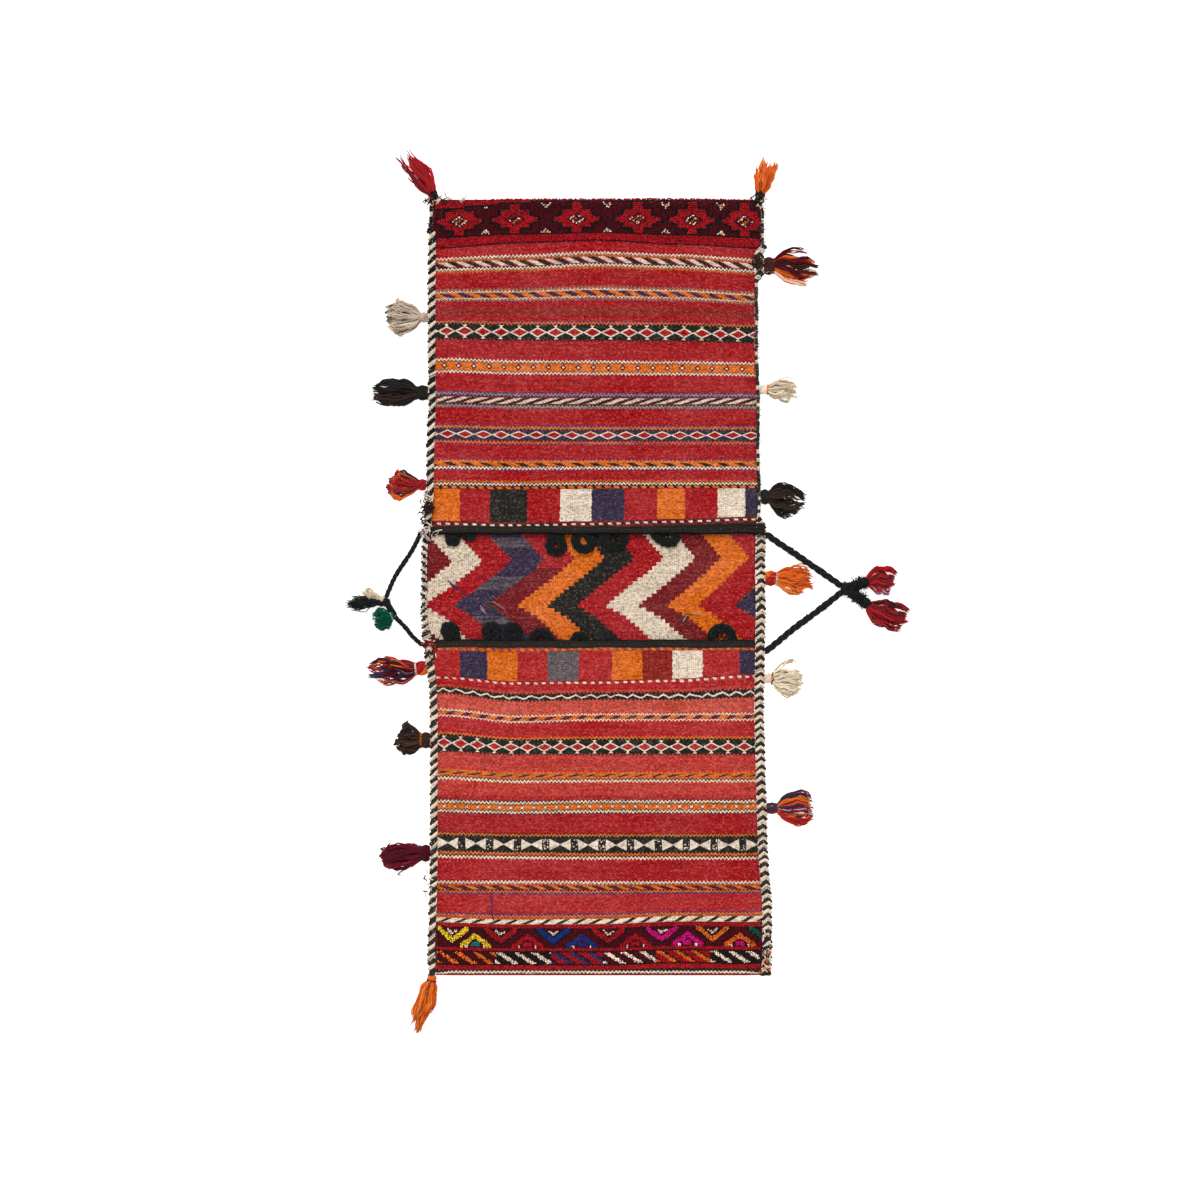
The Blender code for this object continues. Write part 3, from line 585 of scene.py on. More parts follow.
@dataclass(frozen=True)
class BowTies(Figure):
    """Pairs of triangles that meet at their tips."""

    row: float
    half: float
    pitch: float
    start: float
    reach: float
    yarn: Colour = CREAM

    def paint(self, draft: Draft, ground: Field, u: Field, v: Field) -> Field:
        """Lay the pairs over the ground colour."""
        aside, down = self.distances(u, v)
        wing = (down < aside.stepped(0.9) * (self.half / self.reach) + 0.5) * (aside < self.reach)
        flecks = draft.speckle((u / 1.1).floor(), (v / 1.1).floor())
        bar = (aside > self.reach + 1.0) * (down < self.half) * (flecks > 0.84)
        ground = draft.mix(bar, ground, self.yarn)
        return draft.mix(wing, ground, self.yarn)


@dataclass(frozen=True)
class Squares(Figure):
    """A row of plain blocks of different widths."""

    row: float
    half: float
    yarns: Stops

    def paint(self, draft: Draft, ground: Field, u: Field, v: Field) -> Field:
        """Lay the squares over the ground colour."""
        wobble = (draft.noise(u * 0.05, v * 0.35, 7.0) - 0.5) * 3.0
        squares = draft.ramp(u + wobble, self.yarns, -175.0, 175.0)
        inside = (v - self.row).size() < (draft.noise(u * 0.05, 1.0, 3.0) - 0.5) * 1.5 + self.half
        return draft.mix(inside, ground, squares)


@dataclass(frozen=True)
class Chevrons(Figure):
    """Stepped zigzag stripes that fill the bridge, with slate streaks in the navy ones."""

    turns: tuple[tuple[float, float], ...]
    step: float
    yarns: Stops
    streaks: tuple[tuple[float, float], ...]

    def paint(self, draft: Draft, ground: Field, u: Field, v: Field) -> Field:
        """Lay the stripes over the whole ground."""
        wobble = (draft.noise(u * 0.06, v * 0.02, 5.0) - 0.5) * 3.0
        hang = ((u - 6.0) * (-4.6 / 150.0)).held(0.0, 4.6)
        fading = ((v - 400.0) * (-1.0 / 20.0)).held(0.0, 1.0)
        line = (v + wobble - hang * fading + self.step * 0.5).stepped(self.step)
        far = ((u - 40.0) * (6.0 / 60.0)).held(0.0, 6.0)
        shift = far * ((line - 358.0) * (1.0 / 48.0)).held(0.0, 1.0) + self.turns[0][1]
        for (low_row, low), (high_row, high) in zip(self.turns, self.turns[1:]):
            drift = line.held(low_row, high_row) - low_row
            shift = shift + drift * ((high - low) / (high_row - low_row))
        flat = u - shift + (draft.noise(v * 0.9, u * 0.01, 2.0) - 0.5) * 1.6
        ground = draft.ramp(flat, self.yarns, -215.0, 260.0)
        ground = draft.mix((flat > -53.0) * (flat < -23.0) * (v < 368.5), ground, RED)
        in_navy = (flat > -86.0) * (flat < -53.0) + (flat > 188.0)
        for middle, half in self.streaks:
            soft = draft.noise(u * 0.04, v * 0.6, middle)
            streak = ((v - middle).size() < half) * (soft > 0.42)
            ground = draft.mix(streak * in_navy * 0.75, ground, SLATE)
        return ground


@dataclass(frozen=True)
class Zone:
    """A stretch of flat weave with its stripes and figures, between two drafted rows."""

    name: str
    start: float
    end: float
    stripes: Stops
    figures: tuple[Figure, ...] = ()
    ripple: float = 1.15
    worn: float = 1.0

    def material(self, flip: bool = False) -> Material:
        """Weave the zone as a material.

        Args:
            flip: whether the rows are counted down from row -1, as on the layer at the back.

        Returns:
            The material.
        """
        draft = Draft("weave_" + self.name)
        u, v = draft.uv("weave")
        if flip:
            v = (v + 1.0) * -1.0
        drift = (draft.noise(u * 0.045, v * 0.05, 11.0) - 0.5) * 3.2
        jog = (draft.noise(u * 0.12, v * 0.2, 4.0) - 0.5) * 1.5
        line = v + jog
        tooth = (u.from_middle(3.8) - 0.95) * self.ripple
        colour = draft.ramp(line + tooth, self.stripes, self.start - 4.0, self.end + 4.0)
        for figure in self.figures:
            colour = figure.paint(draft, colour, u + drift, line)
        return weathered(draft, colour, u, v, self.worn)


def weathered(draft: Draft, colour: Field, u: Field, v: Field, worn: float = 1.0) -> Material:
    """Give a drafted colour the ribs, stitches, dye streaks and wear of flat-woven wool, with painted shade
    in the grooves between the ribs.

    Args:
        draft: the material being built.
        colour: the drafted colour.
        u, v: column and row.
        worn: how strongly the wear shows.

    Returns:
        The finished material.
    """
    rib = draft.math("COSINE", u * (TURN / 2.12)) * 0.5 + 0.5
    stitch = draft.speckle((u / 2.12).floor(), (v / 1.3 + draft.speckle((u / 2.12).floor(), 5.0)).floor())
    fine = draft.speckle((u / 1.06 + 0.5).floor(), (v / 0.9).floor())
    streak = draft.noise(u * 0.018, v * 0.55, 1.5, 3.0) - 0.5
    blotch = draft.noise(u * 0.02, v * 0.024, 8.5, 3.0) - 0.5
    fibre = draft.noise(u * 0.9, v * 1.3, 2.5, 2.0) - 0.5
    # The rib term paints shade into the grooves between the ribs, on top of their bump below; the other terms
    # are stitches, dye streaks, blotches and fibres.
    light = (stitch - 0.5) * (0.60 * worn) + (fine - 0.5) * 0.46 + streak * (0.46 * worn)
    light = light + blotch * (0.26 * worn) + fibre * 0.6 + rib * 0.16 + 0.88
    faded = blotch * -0.12 + streak * -0.10 + 1.0
    colour = draft.tone(colour, light, faded)
    lint = (stitch * fine - 0.40).most(0.0) * 0.34
    colour = draft.mix(lint, colour, BEIGE)
    bare = (draft.noise(u * 0.55, v * 0.8, 21.0, 1.0) > 0.735) * (draft.noise(u * 0.03, v * 0.03, 30.0) > 0.5)
    colour = draft.mix(bare * (0.34 * worn), colour, BEIGE)
    height = rib * 0.55 + stitch * 0.2 + fibre * 0.5
    return draft.finish(colour, height, 0.0007, 0.75)


# Squares beside each mouth: the column at which each begins, and its yarn
UPPER_SQUARES = (
    (-175, ORANGE), (-137, RED), (-107, BLACK), (-71, RED), (-38, CREAM), (-6, NAVY), (27, RED),
    (59, ORANGE), (87, RED), (119, CREAM), (147, NAVY), (162, RED),
)
LOWER_SQUARES = (
    (-175, FOLD_RED), (-138, NAVY), (-110, ORANGE), (-80, FOLD_RED), (-50, SLATE), (-19, FOLD_RED),
    (14, ORANGE), (45, dyed(146, 38, 32)), (74, CREAM), (105, FOLD_RED), (141, NAVY), (159, FOLD_RED),
)

UPPER_ZONES = (
    Zone("upper_barber_white", 38, 76, (
        (0, RED), (51.6, CREAM), (53.2, BLACK), (54.0, AMBER), (55.4, DEEP_RED), (62.3, BLACK),
        (63.2, CREAM), (64.8, BLACK), (65.8, AMBER), (67.2, RED)), (
        Blocks(58.9, 2.9, 17.7, -152.5, -1.9,
               ((0.0, BLUSH), (0.42, DEEP_RED), (0.48, BLACK), (0.86, RED))),)),
    Zone("upper_barber_orange", 76, 110, (
        (0, RED), (84.2, BLUE), (85.0, AMBER), (86.4, BLACK), (87.2, CREAM), (88.8, DEEP_RED),
        (94.2, CREAM), (95.6, BLACK), (96.4, AMBER), (97.6, BLUE), (98.6, RED), (104, DULL_RED)), (
        Blocks(91.4, 2.7, 17.7, -161.0, -1.9,
               ((0.0, ORANGE), (0.46, DEEP_RED), (0.54, NAVY), (0.90, RED))),)),
    Zone("upper_diamonds_black", 110, 149, (
        (0, DULL_RED), (114, RED), (119.8, BLUE), (120.8, AMBER), (122.6, BLACK), (139.2, RED)), (
        Diamonds(130.9, 4.9, 18.2, -150.2, RED, CREAM, True),)),
    Zone("upper_lozenges_orange", 149, 182, (
        (0, RED), (159.4, CREAM), (160.9, BLACK), (162.0, ORANGE), (170.0, BLACK), (171.0, CREAM),
        (172.6, RED)), (
        Eyes(165.9, 14.85, -152.4, 3.3, PLUM),)),
    Zone("upper_barber_long", 182, 216, (
        (0, RED), (191.2, BLUE), (192.4, GREY), (194.0, BLUE), (194.9, DEEP_RED), (203.2, BLACK),
        (204.2, GREY), (206.0, SLATE), (207.0, RED)), (
        Blocks(199.4, 2.9, 17.5, -162.0, 3.0,
               ((0.0, BLUSH), (0.50, DEEP_RED), (0.56, BLACK), (0.92, DEEP_RED))),)),
    Zone("upper_diamonds_navy", 216, 251, (
        (0, RED), (223.6, BLUE), (225.0, AMBER), (227.3, NAVY), (239.4, RED), (240.3, AMBER),
        (242.2, BLUE), (243.2, RED)), (
        Diamonds(233.4, 3.9, 17.8, -149.2, RED, CREAM),)),
    Zone("upper_teeth", 251, 275, (
        (0, RED), (258.6, BLUE), (259.6, ORANGE), (265.4, DEEP_RED), (266.6, CREAM), (268.3, BLUE),
        (269.4, RED)), (
        Blocks(263.8, 1.7, 18.2, -150.0, -2.2, ((0.0, BLACK), (0.48, ORANGE))),)),
    Zone("upper_squares", 275, 334, (
        (0, RED), (280.4, AMBER), (281.8, BLACK), (282.9, CREAM), (284.6, BLACK), (285.6, DEEP_RED),
        (322.2, DEEP_RED)), (
        Blocks(287.5, 1.2, 9.0, -154.0, -0.6, ((0.0, ORANGE), (0.58, BLACK))),
        Squares(305.4, 16.0, UPPER_SQUARES),
        Blocks(324.4, 0.95, 9.0, -151.0, -0.4, ((0.0, CREAM), (0.44, BLACK), (0.86, DEEP_RED))))),
)
BRIDGE_ZONE = Zone("bridge_chevrons", 330, 446, ((0, RED),), (
    Chevrons(((333.0, -22.0), (358.5, 0.0), (406.0, -58.0), (417.5, -38.2), (441.5, -12.5)), 3.8, (
        (-215, DEEP_RED), (-145, BRIDGE_CREAM), (-115, RED), (-86, NAVY), (-53, DEEP_RED), (-23, ORANGE),
        (6, BLACK), (36, RED), (66, BRIDGE_CREAM), (97, DEEP_RED), (123, ORANGE), (152, RED),
        (188, NAVY)), ((343.0, 5.0), (383.5, 6.5), (420.5, 4.0))),), 0.0, 1.1)
LOWER_ZONES = (
    Zone("lower_squares", 441, 488, (
        (0, FOLD_RED), (450.8, DEEP_RED), (480.2, DEEP_RED), (481.4, FOLD_RED)), (
        Blocks(448.9, 1.4, 8.2, -150.0, -0.7,
               ((0.0, ORANGE), (0.52, FOLD_RED), (0.62, SLATE), (0.90, FOLD_RED))),
        Squares(465.6, 14.8, LOWER_SQUARES),
        Blocks(482.6, 1.0, 8.1, -160.0, -0.4, ((0.0, CREAM), (0.46, FOLD_RED))))),
    Zone("lower_zigzag", 488, 507, ((0, FOLD_RED), (490, SALMON), (492.6, BLACK), (499.6, PALE_SALMON)), (
        Zigzag(496.1, 14.6, 1.5, 0.75),)),
    Zone("lower_barber_orange", 507, 529, (
        (0, PALE_SALMON), (513.6, CREAM), (515.1, DEEP_RED), (518.6, CREAM), (520.2, FOLD_RED)), (
        Blocks(516.9, 1.8, 16.5, -160.0, 1.6, ((0.0, ORANGE), (0.55, DEEP_RED), (0.62, PLUM))),)),
    Zone("lower_diamonds_black", 529, 563, (
        (0, FOLD_RED), (536.4, AMBER), (538.3, BLACK), (554.2, SALMON)), (
        Diamonds(546.6, 4.5, 16.65, -152.5, FOLD_RED, CREAM, True),)),
    Zone("lower_slashes", 563, 591, (
        (0, SALMON), (571.6, AMBER), (573.0, ORANGE), (577.4, AMBER), (578.4, BLACK), (579.6, CREAM),
        (581.4, SALMON)), (
        Blocks(575.2, 1.5, 16.5, -160.0, 3.2, ((0.0, NAVY), (0.42, ORANGE))),)),
    Zone("lower_eyes", 591, 624, (
        (0, SALMON), (595, FOLD_RED), (599.0, BLACK), (600.2, CREAM), (602.0, BLACK), (603.2, ORANGE),
        (608.9, BLACK), (610.0, CREAM), (611.8, BLACK), (612.9, RED)), (
        Eyes(606.0, 11.2, -152.6, 2.5, NAVY, CREAM, 1.4),)),
    Zone("lower_bow_ties", 624, 670, (
        (0, RED), (632.8, BLACK), (633.8, AMBER), (635.6, BLACK), (652.6, AMBER), (654.6, BLACK),
        (655.6, DEEP_RED), (656.6, CREAM), (658.6, RED)), (
        BowTies(644.4, 5.5, 28.0, -148.9, 10.3),)),
    Zone("lower_barber_dark", 670, 704, (
        (0, RED), (680.9, CREAM), (682.6, BLACK), (683.4, AMBER), (684.8, PLUM), (689.4, BLACK),
        (690.2, AMBER), (691.8, BLUE), (693.4, FOLD_RED)), (
        Blocks(687.1, 2.0, 16.7, -160.0, -2.4, ((0.0, ORANGE), (0.40, PLUM))),)),
    Zone("lower_barber_cream", 704, 725, (
        (0, FOLD_RED), (712.8, BLUE), (714.2, AMBER), (716.2, DEEP_RED), (717.2, AMBER),
        (722.9, AMBER), (724.4, DEEP_RED)), (
        Blocks(720.6, 2.5, 16.8, -150.0, 1.9, ((0.0, CREAM), (0.64, BLACK))),)),
)
HEM_ZONE = Zone("lower_hem", 766, 800, (
    (0, PILE_RED), (768.0, BLACK), (770.4, CREAM), (772.6, BLACK), (773.6, RED), (775.4, AMBER),
    (778.0, RED)), (), 0.8)
# Dark ground under the pile bands; where it shows just below the upper pile's end it is a painted shadow line
# under the pile's edge.
PILE_GROUND_AND_SHADOW = Zone("pile_ground_and_shadow", -20, 800, ((0, MAROON), (1.0, MAROON)), (), 0.0)


def back_stripes() -> Stops:
    """Plain stripes for the layer that lies underneath, which nobody sees in use."""
    stripes = [(-12.0, RED)]
    for start in range(60, 700, 142):
        stripes += [(start, NAVY), (start + 9, CREAM), (start + 11, ORANGE), (start + 17, CREAM),
                    (start + 19, BROWN), (start + 30, RED)]
    return tuple(stripes)


BACK_ZONE = Zone("back_stripes", -12, 790, back_stripes(), (), 0.5)
LINING_ZONE = Zone("lining", -820, 820, ((-820, DULL_RED), (0, DULL_RED)), (), 0.0)


def dress(piece: Piece, node: Optional[str]) -> Piece:
    """Let a finished piece ride on the bag and stand for its solid.

    Args:
        piece: the finished piece.
        node: the solid that it replaces, if any.

    Returns:
        The piece.
    """
    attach(piece, "root")
    if node is not None:
        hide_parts(node)
    LOG.info("%s made, %d faces", piece.name, len(piece.data.polygons))
    return piece


def new_piece(name: str, mesh: bpy.types.Mesh, material: Material) -> Piece:
    """Add a mesh to the scene with its material, smooth all over."""
    piece = bpy.data.objects.new(name, mesh)
    bpy.context.scene.collection.objects.link(piece)
    mesh.materials.append(material)
    mesh.polygons.foreach_set("use_smooth", np.ones(len(mesh.polygons), bool))
    return piece


@dataclass
class KilimStrip:
    """The long woven strip, folded at both ends into two pouches."""

    columns: int = 118
    row_step: float = 3.3
    back_step: float = 12.0
    mouth_lap: float = 2.6

    def front_rows(self, start: float, end: float, zones: Sequence[Zone]) -> list[float]:
        """Rows of a pouch's front, with every zone's border among them."""
        borders = [start] + [zone.start for zone in zones if start < zone.start < end] + [end]
        rows: list[float] = []
        for low, high in zip(borders, borders[1:]):
            count = max(1, round((high - low) / self.row_step))
            rows += list(np.linspace(low, high, count, endpoint=False))
        return rows + [end]

    def lines(self) -> tuple[Array, Array]:
        """Every row of the strip, from the upper mouth round both folds to the lower mouth.

        Returns:
            The points, line by line, and each line's drafted row.
        """
        shares = np.linspace(0.0, 1.0, self.columns + 1)
        fold = np.radians((90, 76, 62, 48, 34, 20, 8, -8, -24, -42, -60, -76, -90))
        inset = (BAG.pile_thickness + BAG.pouch_hollow / 2) / BAG.pick
        points, marks = [], []
        upper_mouth = (BAG.half_length - BAG.upper_mouth_y) / BAG.pick - self.mouth_lap
        lower_mouth = (BAG.half_length - BAG.lower_mouth_y) / BAG.pick + self.mouth_lap
        upper_rows = self.front_rows(inset + 2.0, upper_mouth, UPPER_ZONES)[::-1]
        lower_rows = self.front_rows(lower_mouth, BAG.rows - inset - 2.0, LOWER_ZONES + (HEM_ZONE,))[::-1]
        for row in upper_rows:
            points.append(BAG.front(shares, np.full_like(shares, row))[0])
            marks.append(row)
        for angle in fold:
            points.append(self.fold_line(shares, 1.0, angle))
            depth = (BAG.half_length - float(points[-1][:, 1].mean())) / BAG.pick
            marks.append(depth if angle > 0 else -depth)
        back = np.arange(inset + self.back_step, BAG.rows - inset - self.back_step / 2, self.back_step)
        for row in back:
            points.append(self.back_line(shares, BAG.half_length - row * BAG.pick))
            marks.append(-1.0 - row)
        for angle in fold[::-1]:
            points.append(self.fold_line(shares, -1.0, angle))
            depth = (BAG.half_length + float(points[-1][:, 1].mean())) / BAG.pick
            marks.append(BAG.rows - depth if angle > 0 else BAG.rows + depth)
        for row in lower_rows:
            points.append(BAG.front(shares, np.full_like(shares, row))[0])
            marks.append(row)
        return np.array(points), np.array(marks)

    def fold_line(self, shares: Array, sign: float, angle: float) -> Array:
        """One row on the turn of a fold, at an angle from level."""
        radius = BAG.hollow(shares) / 2
        reach = radius + BAG.pile_thickness - BAG.fold_round
        out = math.cos(angle) * reach
        y = sign * (BAG.half_length - BAG.pile_thickness - radius + out)
        z = BAG.cloth_thickness + radius + math.sin(angle) * (radius + BAG.cloth_thickness)
        return np.stack((BAG.across(y, shares), y, z), axis=-1)

    def back_line(self, shares: Array, y: float) -> Array:
        """One row of the layer underneath, which lifts a little off the ground at the bridge."""
        ys = np.full_like(shares, y)
        x = BAG.across(ys, shares)
        bridge = smooth((BAG.upper_mouth_y - y) / 0.03) * smooth((y - BAG.lower_mouth_y) / 0.03)
        lift = 0.0004 + 0.0003 * BAG.ripple(x * 1.3, ys * 1.4)
        return np.stack((x, ys, np.maximum(lift * bridge, 0.0)), axis=-1)

    def build(self) -> Piece:
        """Make the strip, give it its thickness and its woven materials."""
        points, marks = self.lines()
        count, across = points.shape[0], points.shape[1]
        index = np.arange(count * across).reshape(count, across)
        quads = np.stack((index[:-1, :-1], index[:-1, 1:], index[1:, 1:], index[1:, :-1]), axis=-1)
        mesh = bpy.data.meshes.new("kilim_cloth_weave")
        mesh.from_pydata(points.reshape(-1, 3), [], quads.reshape(-1, 4))
        columns = points[:, :, 0] / BAG.pick
        rows = np.repeat(marks[:, None], across, axis=1)
        uv = np.stack((columns, rows), axis=-1).reshape(-1, 2)
        layer = mesh.uv_layers.new(name="weave")
        layer.data.foreach_set("uv", uv[quads.reshape(-1)].astype(np.float32).ravel())
        zones = (*UPPER_ZONES, PILE_GROUND_AND_SHADOW, BACK_ZONE, BRIDGE_ZONE, *LOWER_ZONES, HEM_ZONE)
        middle = (marks[:-1] + marks[1:]) / 2
        jumps = np.abs(marks[1:] - marks[:-1]) > 100.0
        middle[jumps] = -1.0 - BAG.rows
        number = {zone.name: k for k, zone in enumerate(zones)}
        chosen = []
        for row in middle:
            if row < -8.0:
                bridge = 326.0 < -1.0 - row < 449.0
                chosen.append(number["bridge_chevrons" if bridge else "back_stripes"])
            # The dark pile ground runs some rows past the upper pile's end, as a painted shadow line under
            # its lower edge.
            elif row < UPPER_ZONES[0].start + 3.5 or 725.0 < row < HEM_ZONE.start:
                chosen.append(number["pile_ground_and_shadow"])
            else:
                chosen.append(next(number[z.name] for z in reversed(UPPER_ZONES + LOWER_ZONES + (HEM_ZONE,))
                                   if row >= z.start))
        mesh.polygons.foreach_set("material_index", np.repeat(chosen, across - 1).astype(np.int32))
        back = BACK_ZONE.material(True)
        outer = [back if zone in (BACK_ZONE, BRIDGE_ZONE) else zone.material() for zone in zones]
        piece = new_piece("kilim_cloth_weave", mesh, outer[0])
        lining, bridge = LINING_ZONE.material(), BRIDGE_ZONE.material(True)
        inner = [bridge if zone is BRIDGE_ZONE else lining for zone in zones]
        for material in outer[1:] + inner:
            mesh.materials.append(material)
        wall = piece.modifiers.new("wall", "SOLIDIFY")
        wall.thickness = BAG.cloth_thickness
        wall.offset = -1.0
        wall.material_offset = len(zones)
        wall.use_quality_normals = True
        bpy.ops.object.select_all(action="DESELECT")
        bpy.context.view_layer.objects.active = piece
        piece.select_set(True)
        bpy.ops.object.modifier_apply(modifier=wall.name)
        return dress(piece, "kilim_cloth")


def wool(name: str, plies: float = 2.0, lay: float = 0.006, groove_shade: float = 0.35) -> Material:
    """Twisted wool whose colour comes from each strand, with painted shade in the grooves between the plies.

    Args:
        name: the material's name.
        plies: yarns twisted together in a strand.
        lay: length of one turn of the twist, in metres.
        groove_shade: painted shade, how much darker the grooves between the plies are painted.

    Returns:
        The material.
    """
    draft = Draft(name, 0.95)
    along, around = draft.uv("ply")
    wander = draft.noise(along * 160.0, around * 2.0, 3.0) - 0.5
    turns = around * plies + along / lay + wander * 0.5
    twist = draft.math("SINE", turns * (TURN)) * 0.5 + 0.5
    fibre = draft.noise(along * 900.0, around * 14.0, 5.0) - 0.5
    patch = draft.noise(along * 60.0, around, 9.0) - 0.5
    # Painted shade: the twist term darkens the colour in the grooves between the plies, besides driving the
    # bump.
    light = twist * groove_shade + fibre * 0.7 + patch * 0.45 + (1.12 - groove_shade * 0.6)
    colour = draft.tone(draft.attribute("yarn"), light)
    return draft.finish(colour, twist * 0.7 + fibre * 0.3, 0.0006, 0.6)


@dataclass
class Skein:
    """Strands of yarn that become one mesh of thin tubes."""

    sides: int = 5
    groups: list[tuple[Array, ...]] = field(default_factory=list)

    def lay(self, lines: Array, radii: Union[Array, float], colours: Sequence[Colour],
            seed: int, flat: float = 1.0, closed: bool = False, guide: Sequence[float] = (0, 0, 1)) -> None:
        """Add strands of equal point counts.

        Args:
            lines: centre lines, strands by points by 3.
            radii: radius at each point, or one for all.
            colours: one colour for each strand, or one for all.
            seed: start of the colours' small variation.
            flat: height of a strand as a share of its width.
            closed: whether each strand meets its own start.
            guide: the way that counts as up across a strand.
        """
        chance = np.random.default_rng(seed)
        strands, points = lines.shape[:2]
        radii = np.broadcast_to(np.asarray(radii, float), (strands, points))
        dyes = np.broadcast_to(np.asarray(colours, float), (strands, 3))
        dyes = dyes * chance.uniform(0.8, 1.2, (strands, 1))
        if closed:
            along = np.roll(lines, -1, axis=1) - np.roll(lines, 1, axis=1)
        else:
            along = np.gradient(lines, axis=1)
        along = unit(along)
        aside = np.cross(along, np.asarray(guide, float))
        aside = unit(np.where(np.linalg.norm(aside, axis=-1, keepdims=True) < 1e-6, (1.0, 0.0, 0.0), aside))
        above = np.cross(aside, along)
        angles = np.linspace(0.0, TURN, self.sides, endpoint=False)
        ring = (np.cos(angles)[:, None] * aside[:, :, None, :]
                + flat * np.sin(angles)[:, None] * above[:, :, None, :])
        verts = lines[:, :, None, :] + radii[:, :, None, None] * ring
        steps = np.linalg.norm(np.diff(lines, axis=1), axis=-1)
        travel = np.concatenate((np.zeros((strands, 1)), np.cumsum(steps, axis=1)), axis=1)
        travel = travel + chance.uniform(0.0, 0.1, (strands, 1))
        self.groups.append((verts, travel, dyes, np.array(closed)))

    def mesh(self, name: str) -> bpy.types.Mesh:
        """Join every strand as one mesh with its colours and twist coordinates."""
        all_verts, all_dyes, quads, quad_uv, caps = [], [], [], [], []
        base, sides = 0, self.sides
        for verts, travel, dyes, closed in self.groups:
            strands, points = verts.shape[:2]
            index = base + np.arange(strands * points * sides).reshape(strands, points, sides)
            rings = points if closed else points - 1
            here = index[:, np.arange(rings)]
            there = index[:, (np.arange(rings) + 1) % points]
            turn = (np.arange(sides) + 1) % sides
            faces = np.stack((here, there, there[:, :, turn], here[:, :, turn]), axis=-1)
            quads.append(faces.reshape(-1, 4))
            ahead = np.concatenate((travel, travel[:, -1:] + 0.002), axis=1)
            low = np.repeat(travel[:, :rings, None], sides, axis=2)
            high = np.repeat(ahead[:, 1:rings + 1, None], sides, axis=2)
            left = np.broadcast_to(np.arange(sides) / sides, low.shape)
            right = left + 1.0 / sides
            pairs = ((low, left), (high, left), (high, right), (low, right))
            corners = np.stack([np.stack(pair, -1) for pair in pairs], axis=3)
            quad_uv.append(corners.reshape(-1, 2))
            if not closed:
                caps.append(index[:, 0, :].reshape(-1, sides))
                caps.append(index[:, -1, ::-1].reshape(-1, sides))
            all_verts.append(verts.reshape(-1, 3))
            all_dyes.append(np.repeat(dyes, points * sides, axis=0))
            base += strands * points * sides
        quads = np.concatenate(quads)
        faces = quads.tolist() + [cap for group in caps for cap in group.tolist()]
        mesh = bpy.data.meshes.new(name)
        mesh.from_pydata(np.concatenate(all_verts), [], faces)
        layer = mesh.uv_layers.new(name="ply")
        uv = np.zeros((len(mesh.loops), 2), np.float32)
        uv[:len(quads) * 4] = np.concatenate(quad_uv)
        layer.data.foreach_set("uv", uv.ravel())
        dye = mesh.color_attributes.new("yarn", "FLOAT_COLOR", "POINT")
        shades = np.concatenate(all_dyes)
        shades = np.concatenate((shades, np.ones((len(shades), 1))), axis=1)
        dye.data.foreach_set("color", shades.astype(np.float32).ravel())
        return mesh


def through(points: Array, steps: int) -> Array:
    """A smooth line through points, with some steps in each span."""
    points = np.asarray(points, float)
    ends = np.concatenate((2 * points[:1] - points[1:2], points, 2 * points[-1:] - points[-2:-1]))
    share = np.linspace(0.0, 1.0, steps, endpoint=False)[:, None]
    spans = []
    for a, b, c, d in zip(ends, ends[1:], ends[2:], ends[3:]):
        spans.append(0.5 * (2 * b + (c - a) * share + (2 * a - 5 * b + 4 * c - d) * share ** 2
                            + (3 * b - a - 3 * c + d) * share ** 3))
    return np.concatenate((*spans, points[-1:]))


# Radius of a loose hair of wool
HAIR = 0.00022


def travelled(line: Array) -> Array:
    """Distance travelled along a line at each of its points."""
    return np.concatenate(([0.0], np.cumsum(np.linalg.norm(np.diff(line, axis=0), axis=1))))


def length_of(line: Array) -> float:
    """Length of a line."""
    return float(np.linalg.norm(np.diff(line, axis=0), axis=1).sum())


def evenly(points: Array, count: int) -> Array:
    """Resample a line to some number of evenly spaced points."""
    travel = travelled(points)
    places = np.linspace(0.0, travel[-1], count)
    return np.stack([np.interp(places, travel, points[:, k]) for k in range(3)], axis=-1)


def frames(line: Array, guide: Sequence[float] = (0, 0, 1)) -> tuple[Array, Array, Array]:
    """Ways along, aside and above at each point of a line."""
    along = unit(np.gradient(line, axis=0))
    aside = unit(np.cross(along, np.asarray(guide, float)))
    return along, aside, np.cross(aside, along)


def ply(line: Array, radius: float, plies: int, lay: float) -> Array:
    """Centre lines of the plies twisted round a rope's centre line."""
    _, aside, above = frames(line)
    turns = travelled(line)[None, :] / lay + np.arange(plies)[:, None] / plies
    angle = (TURN * turns)[..., None]
    return line[None] + radius * (np.cos(angle) * aside[None] + np.sin(angle) * above[None])


def plait(line: Array, half_width: float, half_height: float, lay: float) -> Array:
    """Centre lines of a flat plait's three strands."""
    _, aside, above = frames(line)
    phase = TURN * (travelled(line)[None, :] / lay + np.arange(3)[:, None] / 3.0)[..., None]
    weave = line[None] + half_width * np.sin(phase) * aside[None]
    return weave + half_height * np.sin(2 * phase) * above[None]


